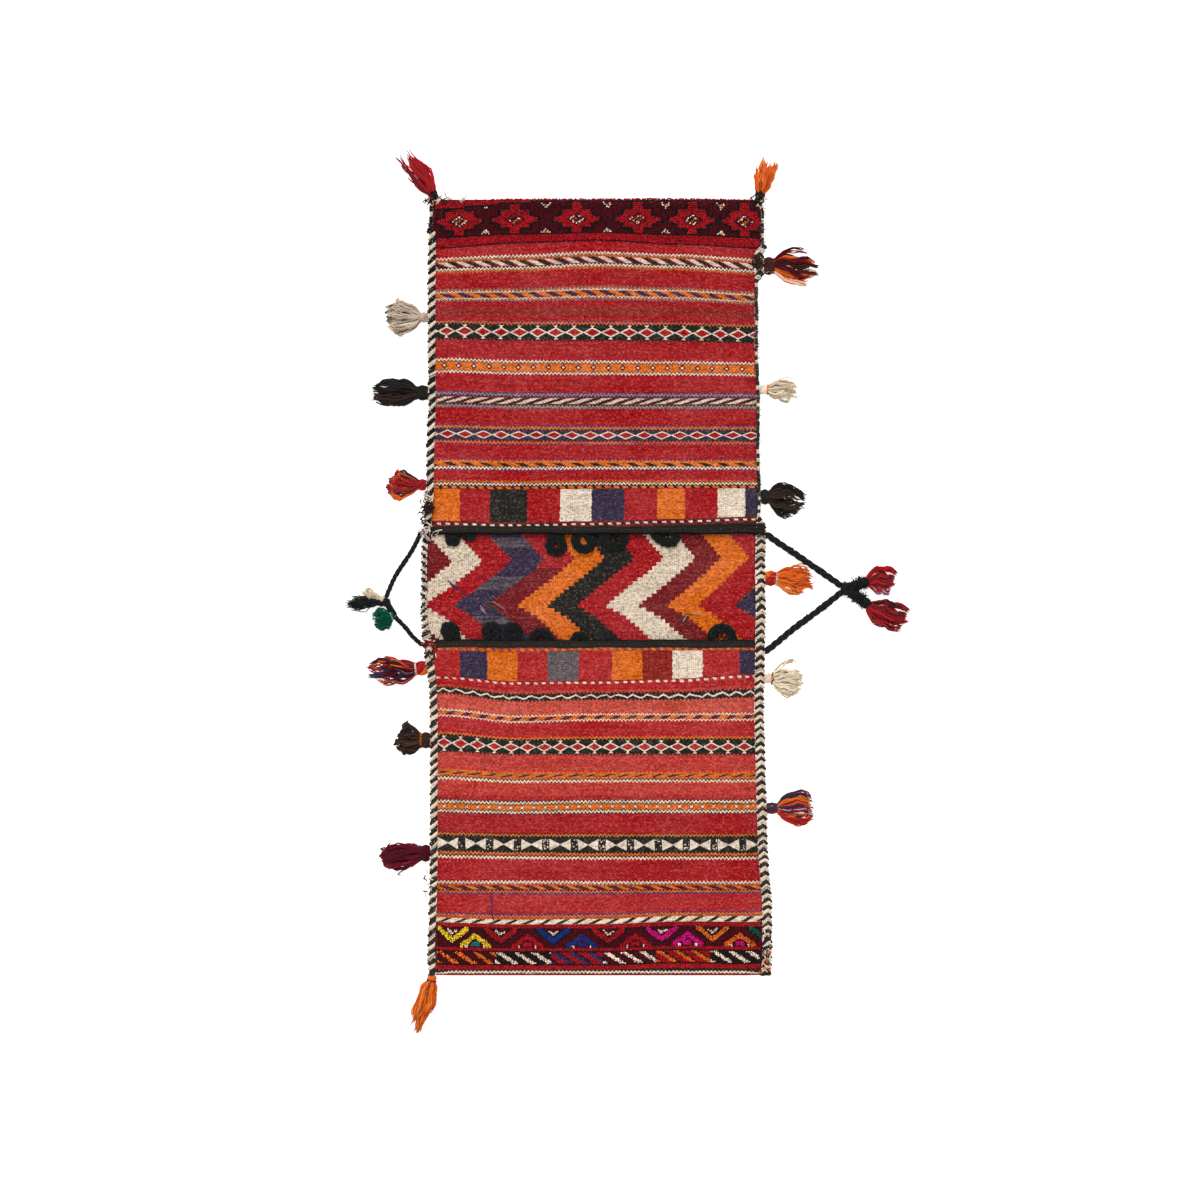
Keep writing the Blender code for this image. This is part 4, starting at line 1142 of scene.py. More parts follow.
def fuzz(skein: Skein, line: Array, radius: float, count: int, reach: float, colour: Colour,
         seed: int, thick: float = HAIR) -> None:
    """Add short loose hairs round a rope."""
    chance = np.random.default_rng(seed)
    along, aside, above = frames(line)
    at = chance.integers(0, len(line), count)
    angle = chance.uniform(-0.3, math.pi + 0.3, (count, 1))
    out = np.cos(angle) * aside[at] + np.sin(angle) * above[at]
    lean = along[at] * chance.uniform(-1.2, 1.2, (count, 1))
    share = np.linspace(0.0, 1.0, 4)[None, :, None]
    way = (out + lean)[:, None, :]
    root = (line[at] + out * radius * 0.7)[:, None, :]
    size = chance.uniform(0.5, 1.0, (count, 1, 1)) * reach
    bend = np.clip(chance.normal(0.0, 0.2, (count, 1, 3)), -0.3, 0.3) * share ** 2
    hairs = root + (way * share + bend) * size
    hairs[..., 2] = np.maximum(hairs[..., 2], 0.0004)
    skein.lay(hairs, thick, [colour], seed + 1)


def piece_of(node: str, skein: Skein, material: Material, kind: str = "wool") -> Piece:
    """Turn a skein into the finished piece that replaces a solid."""
    name = f"{node}_{kind}"
    return dress(new_piece(name, skein.mesh(name), material), node)


def wound(spine: Array, way: Array, turns: int, wide: float, high: float) -> Array:
    """A thread wound round a straight spine, at half a width and half a height from it."""
    angle = np.linspace(0.0, TURN * turns, len(spine))
    aside = np.cross(way, UP)
    return spine + aside * (np.cos(angle) * wide)[:, None] + UP * (np.sin(angle) * high)[:, None]


UP = np.array((0.0, 0.0, 1.0))
# How far a tassel's thick head keeps the yarn above the ground, and a root's height in the binding
HEAD_LIFT = 0.0024
ROOT_Z = 0.00455


def heading_of(degrees: float) -> Array:
    """Level way at an angle from +X."""
    return np.array((math.cos(math.radians(degrees)), math.sin(math.radians(degrees)), 0.0))


def rope_route(start: Array, outward: Array, goal: Array, approach: Array,
               bends: Sequence[tuple[float, float]]) -> Array:
    """A rope's centre line: out of the binding, along its bends and into its knot, as its solid has it.

    Args:
        start, outward: where it leaves the binding, and its way there.
        goal, approach: where it ends, and the way from there back along it.
        bends: share of the way along, and step to the left of its straight line.

    Returns:
        The points, about 2 mm apart.
    """
    lead = 0.003
    along = goal - start
    aside = unit(np.array((-along[1], along[0], 0.0)))
    inner = [start + outward * lead]
    for share, step in bends:
        point = start + along * share + aside * step
        point[2] = start[2] + (goal[2] - start[2]) * share ** 6
        inner.append(point)
    inner.append(goal + approach * lead)
    curve = np.concatenate((start[None], through(np.array(inner), 24), goal[None]))
    return evenly(curve, max(8, round(length_of(curve) / 0.002)))


@dataclass
class Rope:
    """One black wool rope, three plies twisted together, with worn tufts."""

    name: str
    line: Array
    radius: float
    tufts: tuple[float, ...] = ()
    swell: float = 1.22

    def build(self, material: Material, seed: int) -> Piece:
        """Make the rope."""
        skein = Skein()
        full = self.radius * self.swell
        chance = np.random.default_rng(seed)
        count = len(self.line)
        lumps = np.interp(np.arange(count), np.linspace(0, count, 12), chance.uniform(0.86, 1.08, 12))
        skein.lay(ply(self.line, full * 0.47, 3, full * 6.4), (full * 0.53 * lumps)[None], [SOOT], seed)
        fuzz(skein, self.line, self.radius, int(length_of(self.line) * 3200), 0.0018, BLACK, seed + 5)
        for share in self.tufts:
            at = int(share * (len(self.line) - 1))
            around = self.line[max(0, at - 2):at + 3]
            fuzz(skein, around, self.radius, 22, self.radius * 0.60, BLACK, seed + at, 0.0006)
        return piece_of(self.name, skein, material)


def wound_knot(name: str, centre: Array, radius: float, strand: float, material: Material,
               seed: int, stretch: float = 1.0) -> Piece:
    """A knot of rope wound over itself, longer along the bag than across where stretched."""
    skein = Skein(sides=7)
    chance = np.random.default_rng(seed)
    turn = np.linspace(0.0, TURN, 22, endpoint=False)
    rings = []
    for tilt, spin, size in ((0.30, 0.2, 0.98), (-0.50, 1.4, 0.94), (0.85, 2.6, 0.92), (1.25, 0.9, 0.86),
                             (-1.15, 3.4, 0.84), (0.1, 0.0, 0.60)):
        reach = (radius - strand) * size
        flat = np.stack((np.cos(turn), np.sin(turn), 0.18 * np.sin(2 * turn + spin)), axis=-1) * reach
        level, steep = math.cos(tilt), math.sin(tilt)
        across = np.array(((1, 0, 0), (0, level, -steep), (0, steep, level)))
        level, steep = math.cos(spin), math.sin(spin)
        about = np.array(((level, -steep, 0), (steep, level, 0), (0, 0, 1)))
        rings.append(centre + (flat @ across.T @ about.T) * (1.0, stretch, 1.0))
    skein.lay(np.array(rings), strand, [SOOT], seed, closed=True, guide=(0.31, 0.22, 0.93))
    way = unit(chance.normal(0.0, 1.0, (140, 3)))
    share = np.linspace(0.0, 1.0, 4)[None, :, None]
    way = way * (1.0, stretch, 1.0)
    hairs = centre + way[:, None] * (radius * 0.9 + share * chance.uniform(0.0006, 0.0024, (140, 1, 1)))
    hairs = hairs + chance.normal(0.0, 0.0006, (140, 1, 3)) * share ** 2
    hairs[..., 2] = np.maximum(hairs[..., 2], 0.0005)
    skein.lay(hairs, HAIR, [BLACK], seed + 3)
    return piece_of(name, skein, material)


# A tassel's half widths down its head, its skirt's as shares of the widest, and its half heights
HEAD_WIDTHS = (0.0072, 0.0088, 0.0066)
SKIRT_SHARES = (0.60, 0.88, 1.0, 0.92)
BUNCH_HEIGHTS = (0.0036, 0.0064, 0.0050, 0.0072, 0.0086, 0.0090, 0.0074, 0.0048)
SMALL_HEAD_HEIGHT = 0.0056


@dataclass
class Tassel:
    """A bunch of loose yarn with a rounded head, a tied neck and a spread skirt."""

    name: str
    root: Array
    outward: Array
    reach: Array
    width: float
    head: float
    slot: str
    yarns: tuple[tuple[Colour, float], ...]
    head_yarn: Optional[Colour] = None
    loose: float = 1.0
    head_size: float = 1.0
    density: float = 1.0
    locks: int = 17
    looped: bool = False
    bent: float = 0.45
    spread: float = 0.085
    second_head: Optional[Colour] = None
    yarn_size: float = 1.0
    tip: float = 0.66
    seed: int = 0

    def middle(self, share: Array) -> Array:
        """The bent middle line, level, at shares of its length."""
        share = np.asarray(share, float)[..., None]
        bend = self.root + self.outward * (np.linalg.norm(self.reach) * self.bent)
        return (self.root * (1 - share) ** 2 + bend * 2 * share * (1 - share)
                + (self.root + self.reach) * share ** 2)

    def ahead(self, share: Array) -> Array:
        """Way along the middle line at shares of its length."""
        return unit(self.middle(share + 0.02) - self.middle(share - 0.02))

    def envelope(self, share: Array) -> tuple[Array, Array]:
        """Half width and half height of the bunch at shares of its length."""
        neck = self.head
        places = (0.0, neck * 0.45, neck * 0.92, neck + 0.06, neck + 0.20, 0.66, 0.86, 1.0)
        widths = [self.head_size * width for width in HEAD_WIDTHS]
        widths += [self.width / 2 * part for part in (*SKIRT_SHARES, self.tip)]
        heights = np.minimum(BUNCH_HEIGHTS, SMALL_HEAD_HEIGHT if self.head_size < 0.8 else math.inf)
        return np.interp(share, places, widths), np.interp(share, places, heights)

    def build(self, material: Material, seed: int) -> Piece:
        """Make the tassel's strands."""
        chance = np.random.default_rng(self.seed or seed)
        count = int(self.width * 2300 * self.density)
        share = np.linspace(0.0, 1.0, 15)
        lock = chance.integers(0, self.locks, count)
        lock_depth = np.sqrt((np.arange(self.locks) + 0.5) / self.locks)[lock] * 0.92
        lock_angle = (np.arange(self.locks) * 2.399 + chance.uniform(0.0, 6.0))[lock]
        aside = lock_depth * np.cos(lock_angle) + chance.normal(0.0, self.spread, count)
        above = lock_depth * np.sin(lock_angle) + chance.normal(0.0, self.spread, count)
        outside = np.maximum(np.hypot(aside, above), 1.0)
        aside, above = aside / outside, above / outside
        lock_length = np.clip(chance.normal(0.93, 0.09 * self.loose, self.locks), 0.62, 1.06)[lock]
        lengths = np.clip(lock_length + chance.normal(0.0, 0.035, count) - 0.10 * aside ** 2, 0.50, 1.10)
        travel = share
        if self.looped:
            travel = np.sin(np.minimum(share * 1.36, 1.30) * math.pi / 2.0) ** 0.8
        places = travel[None] * lengths[:, None]
        line = self.middle(places)
        across = np.cross(self.ahead(places), UP)
        half_width, half_height = self.envelope(np.minimum(places, 1.0))
        spread = np.sign(aside) * np.abs(aside) ** 0.85
        free = smooth((places - self.head) / 0.45)
        waves = chance.uniform(1.0, 2.6, self.locks)[lock][:, None] + chance.normal(0.0, 0.12, (count, 1))
        phase = chance.uniform(0.0, TURN, self.locks)[lock][:, None]
        phase = phase + chance.normal(0.0, 0.35, (count, 1))
        sway = np.sin(places * waves * TURN + phase) * 0.0021 * self.loose * free
        ripples = np.sin(places * (26.0 + 6.0 * waves) + phase * 2.0) * 0.0007 * free
        lock_curl = chance.normal(0.0, 0.0042 * self.loose, self.locks)[lock][:, None]
        curl = (lock_curl + chance.normal(0.0, 0.0012, (count, 1))) * free ** 2 + ripples
        if self.looped:
            turned = chance.choice((-1.0, 1.0), (count, 1))
            curl = curl + turned * 0.0042 * np.maximum(share - 0.50, 0.0)[None] * 2.0
        x = spread[:, None] * (half_width - 0.0008) + sway + curl
        lift = np.sin(places * waves * 7.0 + phase * 1.7) * 0.0016 * free
        middle_z = half_height + GAP + HEAD_LIFT * (1.0 - smooth((places - self.head) / 0.16))
        z = middle_z + above[:, None] * (half_height - 0.0008) + lift
        line = line + across * x[..., None]
        line[..., 2] = np.maximum(z, 0.0017)
        taper = np.interp(share, (0, 0.9, 1), (1, 0.95, 0.5))[None]
        thin = self.yarn_size * chance.uniform(0.00095, 0.00150, (count, 1)) * taper
        skein = Skein()
        picks = self.choose(chance, lock, count)
        skein.lay(line, thin, picks, seed + 1)
        stray = int(count * 0.35)
        fluff = line[:stray, 5:] + chance.normal(0.0, 0.0016, (stray, 1, 3))
        fluff[..., 2] = np.maximum(fluff[..., 2], 0.0005)
        skein.lay(fluff, 0.00018, np.asarray(picks)[:stray], seed + 2)
        self.wind_head(skein, seed)
        return piece_of(self.name, skein, material)

    def choose(self, chance: np.random.Generator, lock: Array, count: int) -> Array:
        """One yarn colour for each strand, mostly that of its lock."""
        weights = np.array([weight for _, weight in self.yarns])
        limits = np.cumsum(weights / weights.sum())
        luck = chance.uniform(0.0, 0.9999, self.locks)[lock]
        luck = np.where(chance.uniform(0.0, 1.0, count) < 0.35, chance.uniform(0.0, 0.9999, count), luck)
        return np.array([self.yarns[k][0] for k in np.searchsorted(limits, luck)])

    def wind_head(self, skein: Skein, seed: int) -> None:
        """Loop yarn over the head, from its root to its neck and back."""
        chance = np.random.default_rng(seed + 7)
        dye = self.head_yarn or self.yarns[0][0]
        share = np.linspace(0.0, self.head * 1.02, 8)
        for angle in np.linspace(0.0, TURN, 22, endpoint=False):
            half_width, half_height = self.envelope(share)
            twist = angle + share * 9.0 * chance.uniform(0.7, 1.3)
            line = self.middle(share)
            line = line + np.cross(self.ahead(share), UP) * (np.cos(twist) * (half_width - 0.0006))[:, None]
            line[:, 2] = half_height + GAP + HEAD_LIFT + np.sin(twist) * (half_height - 0.0006)
            shade = self.second_head if self.second_head and math.cos(angle) < 0.2 else dye
            skein.lay(line[None], 0.00125, [shade], seed + int(angle * 100))

    def tie(self, material: Material, dye: Colour, node: str, slot: str, turns: int,
            seed: int) -> Piece:
        """Wind thread round the neck."""
        neck = np.array(self.head)
        half_width, half_height = self.envelope(neck)
        centre = self.middle(neck)
        centre[2] = 0.0042 + 2 * GAP + HEAD_LIFT
        ahead = self.ahead(neck)
        side = np.cross(ahead, UP)
        drift = np.linspace(-0.0011, 0.0011, 14 * turns) * turns * 0.6
        wide, high = float(half_width) + 0.0008, float(half_height) + 0.0008
        line = wound(centre + ahead * drift[:, None], ahead, turns, wide, high)
        line[:, 2] = np.maximum(line[:, 2], 0.0008)
        skein = Skein()
        skein.lay(line[None], 0.00075, [dye], seed, guide=tuple(ahead))
        end = line[-1] + np.linspace(0.0, 1.0, 6)[:, None] * (side * 0.004 + ahead * 0.010)
        end[:, 2] = np.linspace(line[-1, 2], 0.0012, 6)
        skein.lay(end[None], 0.0005, [dye], seed + 1)
        return piece_of(node, skein, material, "thread")


RED_MIX = ((RED, 5.0), (DEEP_RED, 3.0), (PILE_RED, 3.0))
MAROON_MIX = ((dyed(104, 20, 40), 6.0), (dyed(84, 18, 34), 4.0), (DEEP_RED, 2.0))
ORANGE_MIX = ((ORANGE, 6.0), (dyed(214, 92, 34), 4.0), (dyed(240, 150, 70), 2.0))
GREY_MIX = ((BEIGE, 5.0), (dyed(158, 146, 132), 4.0), (CREAM, 2.0), (dyed(112, 100, 90), 2.0))
CREAM_MIX = ((dyed(224, 206, 178), 6.0), (dyed(206, 184, 152), 3.0), (dyed(240, 226, 204), 3.0))
BLACK_MIX = ((BLACK, 6.0), (BROWN, 4.0), (dyed(30, 26, 26), 3.0))
BROWN_MIX = ((BROWN, 5.0), (BLACK, 4.0), (dyed(74, 50, 38), 2.0))
UPPER_LEFT_MIX = ((ORANGE, 3.0), (RED, 4.0), (NAVY, 2.0), (dyed(208, 88, 40), 3.0), (LILAC, 0.7),
                  (MAROON, 2.0))
LOWER_LEFT_MIX = ((NAVY, 2.5), (RED, 4.0), (ORANGE, 2.5), (MAROON, 3.0), (dyed(206, 84, 60), 1.5))
UPPER_RIGHT_MIX = ((MAROON, 3.0), (dyed(120, 36, 44), 3.0), (ORANGE, 2.4), (BROWN, 3.0), (CREAM, 1.5),
                   (RED, 2.0))
LOWER_RIGHT_MIX = ((NAVY, 3.0), (RED, 3.5), (ORANGE, 2.5), (dyed(110, 30, 50), 2.0), (LILAC, 0.5))
GREEN_MIX = ((GREEN, 6.0), (dyed(8, 70, 56), 3.0), (dyed(20, 112, 84), 2.0))

# Side, place along half the length, reach, drift, width, head's share, slot, yarns, head yarn and habits
SIDE_TASSELS = {
    "grey": (LEFT, 0.695, 0.062, 0.001, 0.054, 0.22, "grey_wool", GREY_MIX, BEIGE,
             {"head_size": 0.9, "loose": 0.8, "looped": True}),
    "black_left": (LEFT, 0.501, 0.082, -0.001, 0.054, 0.24, "black_wool", BLACK_MIX, BLACK,
                   {"head_size": 1.35}),
    "mixed_upper_left": (LEFT, 0.264, 0.054, 0.004, 0.044, 0.24, "mixed_wool", UPPER_LEFT_MIX, RED,
                         {"looped": True, "density": 1.2}),
    "mixed_lower_left": (LEFT, -0.206, 0.084, -0.006, 0.050, 0.22, "mixed_wool", LOWER_LEFT_MIX, RED,
                         {"head_size": 1.3, "locks": 11, "loose": 1.5, "second_head": ORANGE}),
    "brown": (LEFT, -0.393, 0.050, -0.001, 0.050, 0.30, "brown_wool", BROWN_MIX, BROWN,
              {"head_size": 1.45, "loose": 0.8, "density": 1.15, "looped": True}),
    "maroon": (LEFT, -0.684, 0.070, -0.006, 0.050, 0.22, "maroon_wool", MAROON_MIX, MAROON,
               {"looped": True, "head_size": 1.5, "loose": 0.9}),
    "mixed_upper_right": (RIGHT, 0.8275, 0.077, -0.002, 0.058, 0.22, "mixed_wool", UPPER_RIGHT_MIX, BROWN,
                          {"head_size": 1.6, "seed": 332}),
    "cream_upper": (RIGHT, 0.509, 0.054, -0.001, 0.040, 0.26, "cream_wool", CREAM_MIX, CREAM,
                    {"head_size": 0.8, "locks": 22, "loose": 1.1, "density": 0.95, "spread": 0.03}),
    "black_right": (RIGHT, 0.233, 0.064, -0.006, 0.060, 0.22, "black_wool", BLACK_MIX, BLACK,
                    {"head_size": 1.35, "loose": 1.3}),
    "orange_right": (RIGHT, 0.024, 0.068, -0.007, 0.050, 0.28, "orange_wool", ORANGE_MIX, RED,
                     {"head_size": 1.35, "locks": 14, "second_head": ORANGE}),
    "cream_lower": (RIGHT, -0.233, 0.056, -0.004, 0.056, 0.24, "cream_wool", CREAM_MIX, CREAM,
                    {"head_size": 0.9, "locks": 26, "loose": 1.0, "spread": 0.03}),
    "mixed_lower_right": (RIGHT, -0.568, 0.070, -0.002, 0.060, 0.28, "mixed_wool", LOWER_RIGHT_MIX, NAVY,
                          {}),
}
# Side, end of the bag, sideways, reach, width, head's share, slot, yarns and head yarn
CORNER_TASSELS = {
    "red_corner": (LEFT, 1, -0.044, 0.060, 0.032, 0.26, "red_wool", RED_MIX, SOOT),
    "orange_corner_top": (RIGHT, 1, 0.012, 0.056, 0.032, 0.30, "orange_wool", ORANGE_MIX, BLACK),
    "orange_corner_bottom": (LEFT, -1, -0.022, 0.074, 0.036, 0.22, "orange_wool", ORANGE_MIX, ORANGE),
}
# The thread round a tassel's neck: its slot, its yarn and its turns
TIES = {
    "red_corner": ("black_thread", SOOT, 5), "orange_corner_top": ("black_thread", SOOT, 6),
    "orange_corner_bottom": ("navy_thread", NAVY, 3), "mixed_lower_left": ("cream_thread", CREAM, 2),
    "brown": ("orange_thread", ORANGE, 2), "maroon": ("black_thread", BLACK, 2),
    "cream_upper": ("orange_thread", ORANGE, 3), "orange_right": ("cream_thread", CREAM, 2),
    "cream_lower": ("red_thread", DEEP_RED, 3), "mixed_lower_right": ("orange_thread", ORANGE, 2),
}


def edge_tassels(material: Material) -> None:
    """Make every tassel along the side bindings and at the corners, and their ties."""
    made: dict[str, Tassel] = {}
    for name, (side, place, reach, drift, *kind, habits) in SIDE_TASSELS.items():
        root, outward = BAG.binding_exit(side, place * BAG.half_length, ROOT_Z)
        way = np.array((side.value * reach, drift, 0.0))
        made[name] = Tassel("tassel_" + name, root, outward, way, *kind, **habits)
    for name, (side, end, sideways, reach, *kind) in CORNER_TASSELS.items():
        y = end * (BAG.half_length + GAP)
        middle = (float(BAG.edge(side, y)) + float(BAG.binding_outside(side, y))) / 2
        root = np.array((middle - side.value * (0.0045 if end == 1 else 0.0), y, ROOT_Z))
        outward, way = np.array((0.0, end, 0.0)), np.array((sideways, end * reach, 0.0))
        made[name] = Tassel("tassel_" + name, root, outward, way, *kind, head_size=0.8, locks=12, bent=0.16,
                            tip=1.1 if side is RIGHT else 0.66, density=1.3)
    for index, tassel in enumerate(made.values()):
        tassel.build(material, 100 + index * 11)
    for index, (name, (slot, dye, turns)) in enumerate(TIES.items()):
        made[name].tie(material, dye, "tie_" + name, slot, turns, 400 + index * 3)


def braided_neck(name: str, start: Array, way: Array, length: float, radius: float,
                 material: Material, seed: int) -> Piece:
    """A short thick plait between a knot and its tassel, with a wound band at its end."""
    skein = Skein(sides=7)
    line = start + way * np.linspace(0.0006, length - 0.0006, 26)[:, None]
    skein.lay(plait(line, radius * 0.46, radius * 0.34, 0.017), radius * 0.52, [SOOT], seed, 0.95)
    spine = start + way * (length * (0.80 + 0.16 * np.linspace(0.0, 1.0, 60)))[:, None]
    band = wound(spine, way, 5, radius * 0.84, radius * 0.84)
    skein.lay(band[None], radius * 0.13, [SOOT], seed + 1, guide=tuple(way))
    fuzz(skein, line, radius * 0.9, 110, 0.0016, BLACK, seed + 2)
    fuzz(skein, line[6:], radius * 0.8, 90, 0.0072, SOOT, seed + 6, 0.0006)
    return piece_of(name, skein, material)


def rope_side(side: Side, y: float, radius: float, knot_radius: float) -> tuple[Array, float]:
    """Where a side's rope knot is, and the height of its ropes."""
    reach = 0.1240 if side is RIGHT else -0.0535
    outer = float(BAG.binding_outside(side, y))
    return np.array((outer + reach, y, knot_radius + GAP)), radius * Rope.swell + GAP


def right_ropes(wool_of_rope: Material, wool_of_skirt: Material) -> None:
    """Make the right ropes, their knot, and the two tassels that hang from it."""
    radius, knot_radius = 0.00475, 0.0093
    knot, level = rope_side(RIGHT, -0.0020, radius, knot_radius)
    ropes = {}
    for name, mouth, inward, bends, tufts in (
            ("rope_right_upper", BAG.upper_mouth_y + 0.0015, -1.0,
             ((0.18, 0.0010), (0.40, 0.0012), (0.65, 0.0008)), (0.33, 0.70)),
            ("rope_right_lower", BAG.lower_mouth_y - 0.0190, 1.0,
             ((0.18, -0.0010), (0.40, 0.0002), (0.65, -0.0006)), (0.30, 0.56, 0.78))):
        start, outward = BAG.binding_exit(RIGHT, mouth + inward * radius, level)
        towards = start - knot
        towards[2] = 0.0
        towards = unit(towards)
        goal = knot + towards * (knot_radius + GAP)
        route = rope_route(start, outward, goal, towards, bends)
        ropes[name] = (Rope(name, route, radius, tufts).build(wool_of_rope, 21), route, start)
    ball = wound_knot("rope_knot_right", knot, knot_radius, 0.0036, wool_of_rope, 31, 1.30)
    hung = {}
    for name, degrees, length, drift in (("upper", 19.0, 0.042, -0.012), ("lower", -36.0, 0.062, 0.018)):
        way = heading_of(degrees)
        neck_start = knot + way * (knot_radius - 0.0040)
        neck_length = 0.029 if name == "upper" else 0.036
        node = "rope_tassel_neck_" + name
        neck = braided_neck(node, neck_start, way, neck_length, 0.0088, wool_of_rope, 41)
        root = neck_start + way * (neck_length - 0.0025)
        aside = np.array((-way[1], way[0], 0.0))
        skirt = Tassel("rope_tassel_" + name, root, way, way * length + aside * drift, 0.038, 0.06,
                       "red_wool", (*RED_MIX, (LILAC, 0.5), (BLACK, 0.6 if name == "upper" else 2.0)),
                       head_yarn=SOOT, head_size=0.9, density=1.35, locks=12)
        hung[name] = (neck, skirt.build(wool_of_skirt, 51 + len(name)))
    for name, pieces in (("rope_right_upper", (ball, *hung["lower"])), ("rope_right_lower", hung["upper"])):
        piece, route, start = ropes[name]


def left_ropes(wool_of_rope: Material, wool_of_skirt: Material) -> None:
    """Make the left ropes, their knot, the wrapped part, the frayed ends and the green tuft."""
    radius, knot_radius = 0.0033, 0.0070
    knot, level = rope_side(LEFT, -0.0225, radius, knot_radius)
    start, outward = BAG.binding_exit(LEFT, BAG.upper_mouth_y - radius, level)
    approach = heading_of(84.0)
    goal = knot + approach * (knot_radius + GAP)
    bends = ((0.25, -0.0016), (0.45, -0.0030), (0.70, -0.0044))
    upper_route = rope_route(start, outward, goal, approach, bends)
    upper = Rope("rope_left_upper", upper_route, radius, (0.45,)).build(wool_of_rope, 61)
    way = heading_of(-58.0)
    wrap_start = knot + way * (knot_radius * 0.45)
    wrap_end = knot + way * (knot_radius + GAP + 0.0193)
    lower_start, lower_outward = BAG.binding_exit(LEFT, BAG.lower_mouth_y - 0.0050, level)
    lower_route = rope_route(lower_start, lower_outward, wrap_end, way, ((0.35, 0.0030), (0.60, 0.0010)))
    lower = Rope("rope_left_lower", lower_route, radius, (0.62,)).build(wool_of_rope, 67)
    ball = wound_knot("rope_knot_left", knot, knot_radius, 0.0027, wool_of_rope, 71)
    skein = Skein()
    line = wrap_start + way * np.linspace(0.0004, 0.0224, 20)[:, None]
    coil = wound(wrap_start + way * np.linspace(0.001, 0.0218, 180)[:, None], way, 12, 0.0044, 0.0044)
    skein.lay(coil[None], 0.00095, [SOOT], 73, guide=tuple(way))
    skein.lay(line[None], 0.0038, [SOOT], 74)
    fuzz(skein, line, 0.005, 60, 0.0016, BLACK, 75)
    wrap = piece_of("rope_wrap_left", skein, wool_of_rope)
    for name, degrees, length, width, yarns, slot in (
            ("rope_end_black", 183.0, 0.053, 0.019, ((SOOT, 6.0), (BLACK, 3.0)), "black_wool"),
            ("rope_end_cream", 150.0, 0.037, 0.013, CREAM_MIX, "cream_wool")):
        away = heading_of(degrees)
        root = knot + away * (knot_radius * 0.7)
        black = slot == "black_wool"
        frayed = Tassel(name, root, away, away * length, width, 0.14, slot, yarns,
                        loose=1.0 if black else 0.6, head_size=0.75,
                        density=2.4 if black else 1.9, locks=21 if black else 6,
                        yarn_size=0.55 if black else 1.0, spread=0.10 if black else 0.04)
        frayed.build(wool_of_skirt, 81 + len(name))
    middle = wrap_start + way * 0.0200
    away = heading_of(204.0)
    root = middle + away * 0.0005
    tuft = Tassel("tuft_green", root, away, away * 0.032, 0.034, 0.12, "green_wool", GREEN_MIX,
                  loose=1.1, density=2.0, head_size=0.8, yarn_size=0.6)
    green = tuft.build(wool_of_skirt, 91)
    thread = tuft.tie(wool_of_skirt, CREAM, "tie_green_tuft", "cream_thread", 2, 95)


def side_binding(side: Side, material: Material) -> Piece:
    """Overcast one side: black and cream yarns in turn over a dark core."""
    name = "side_binding_" + side.name.lower()
    limit = BAG.half_length - 0.0008
    skein = Skein()
    mid_z = BAG.binding_mid_z
    turn = np.linspace(0.0, TURN, 14, endpoint=False)
    chance = np.random.default_rng(500 + side.value)
    y, bar = -limit, 0
    rings, dyes = [], []
    while y < limit:
        inside_bridge = BAG.lower_mouth_y < y < BAG.upper_mouth_y
        width = float(BAG.binding_width(side, y))
        if side is LEFT:
            pitch = 7.5 if inside_bridge else 10.0
            slope = -0.85 if inside_bridge and y > -0.024 else 0.85
        else:
            pitch, slope = 7.9, 0.8
        pitch *= BAG.pick
        cream = bar % 2 == 1
        share = (0.49 if cream else 0.51) if side is RIGHT else (0.42 if cream else 0.58)
        step = pitch * share * chance.uniform(0.80, 1.22)
        lean = chance.normal(1.0, 0.22)
        shove = chance.normal(0.0, 0.0004)
        inward = 0.0004 if side is RIGHT or inside_bridge else 0.0016
        if side is LEFT:
            inward += 0.0050 * math.exp(-((y - BAG.lower_mouth_y + 0.016) / 0.016) ** 2)
        shade = CREAM if cream else (SOOT if side is LEFT and y > 0.0 else BARK)
        if cream and width < 0.0075 and chance.uniform() > 0.45:
            shade = BARK
        for yarn in range(4):
            at = y + step * (0.14 + 0.24 * yarn) + chance.normal(0.0, 0.0002)
            bulge = (-0.0012, 0.0006, 0.0006, -0.0012)[yarn]
            half = (width + inward) / 2 - 0.0009 + bulge * (width > 0.007)
            centre = float(BAG.edge(side, at)) + side.value * (GAP + (width - inward) / 2) + shove
            x = centre + np.cos(turn) * half * chance.uniform(0.94, 1.06)
            tilt = (x - centre) * slope * lean
            if side is RIGHT:
                tilt = half * 0.5 - np.abs(x - centre - half * 0.22) * slope * lean
            ys = np.clip(at + tilt * (half > 0.003), -limit, limit)
            z = mid_z + np.sin(turn) * (BAG.binding_height / 2 - (0.0016 if bulge < 0.0 else 0.0011))
            rings.append(np.stack((x, ys, z), axis=-1))
            speck = GREY if cream else BROWN
            dyes.append(speck if chance.uniform() < 0.06 else shade)
        y += step
        bar += 1
    skein.lay(np.array(rings), 0.00118, dyes, 501, closed=True, guide=(0.0, 1.0, 0.0))
    places = np.linspace(-limit, limit, 260)
    widths = BAG.binding_width(side, places)
    middle = BAG.edge(side, places) + side.value * (GAP + widths / 2)
    core = np.stack((middle, places, np.full_like(places, mid_z)), axis=-1)
    skein.lay(core[None], (widths / 2 - 0.0014)[None], [BLACK], 502, flat=0.55)
    radius = 0.0056 if side is LEFT else 0.0050
    fuzz(skein, core, radius, 1500, 0.0022, BLACK, 503)
    fuzz(skein, core, radius, 900, 0.0022, CREAM, 505)
    return piece_of(name, skein, material)


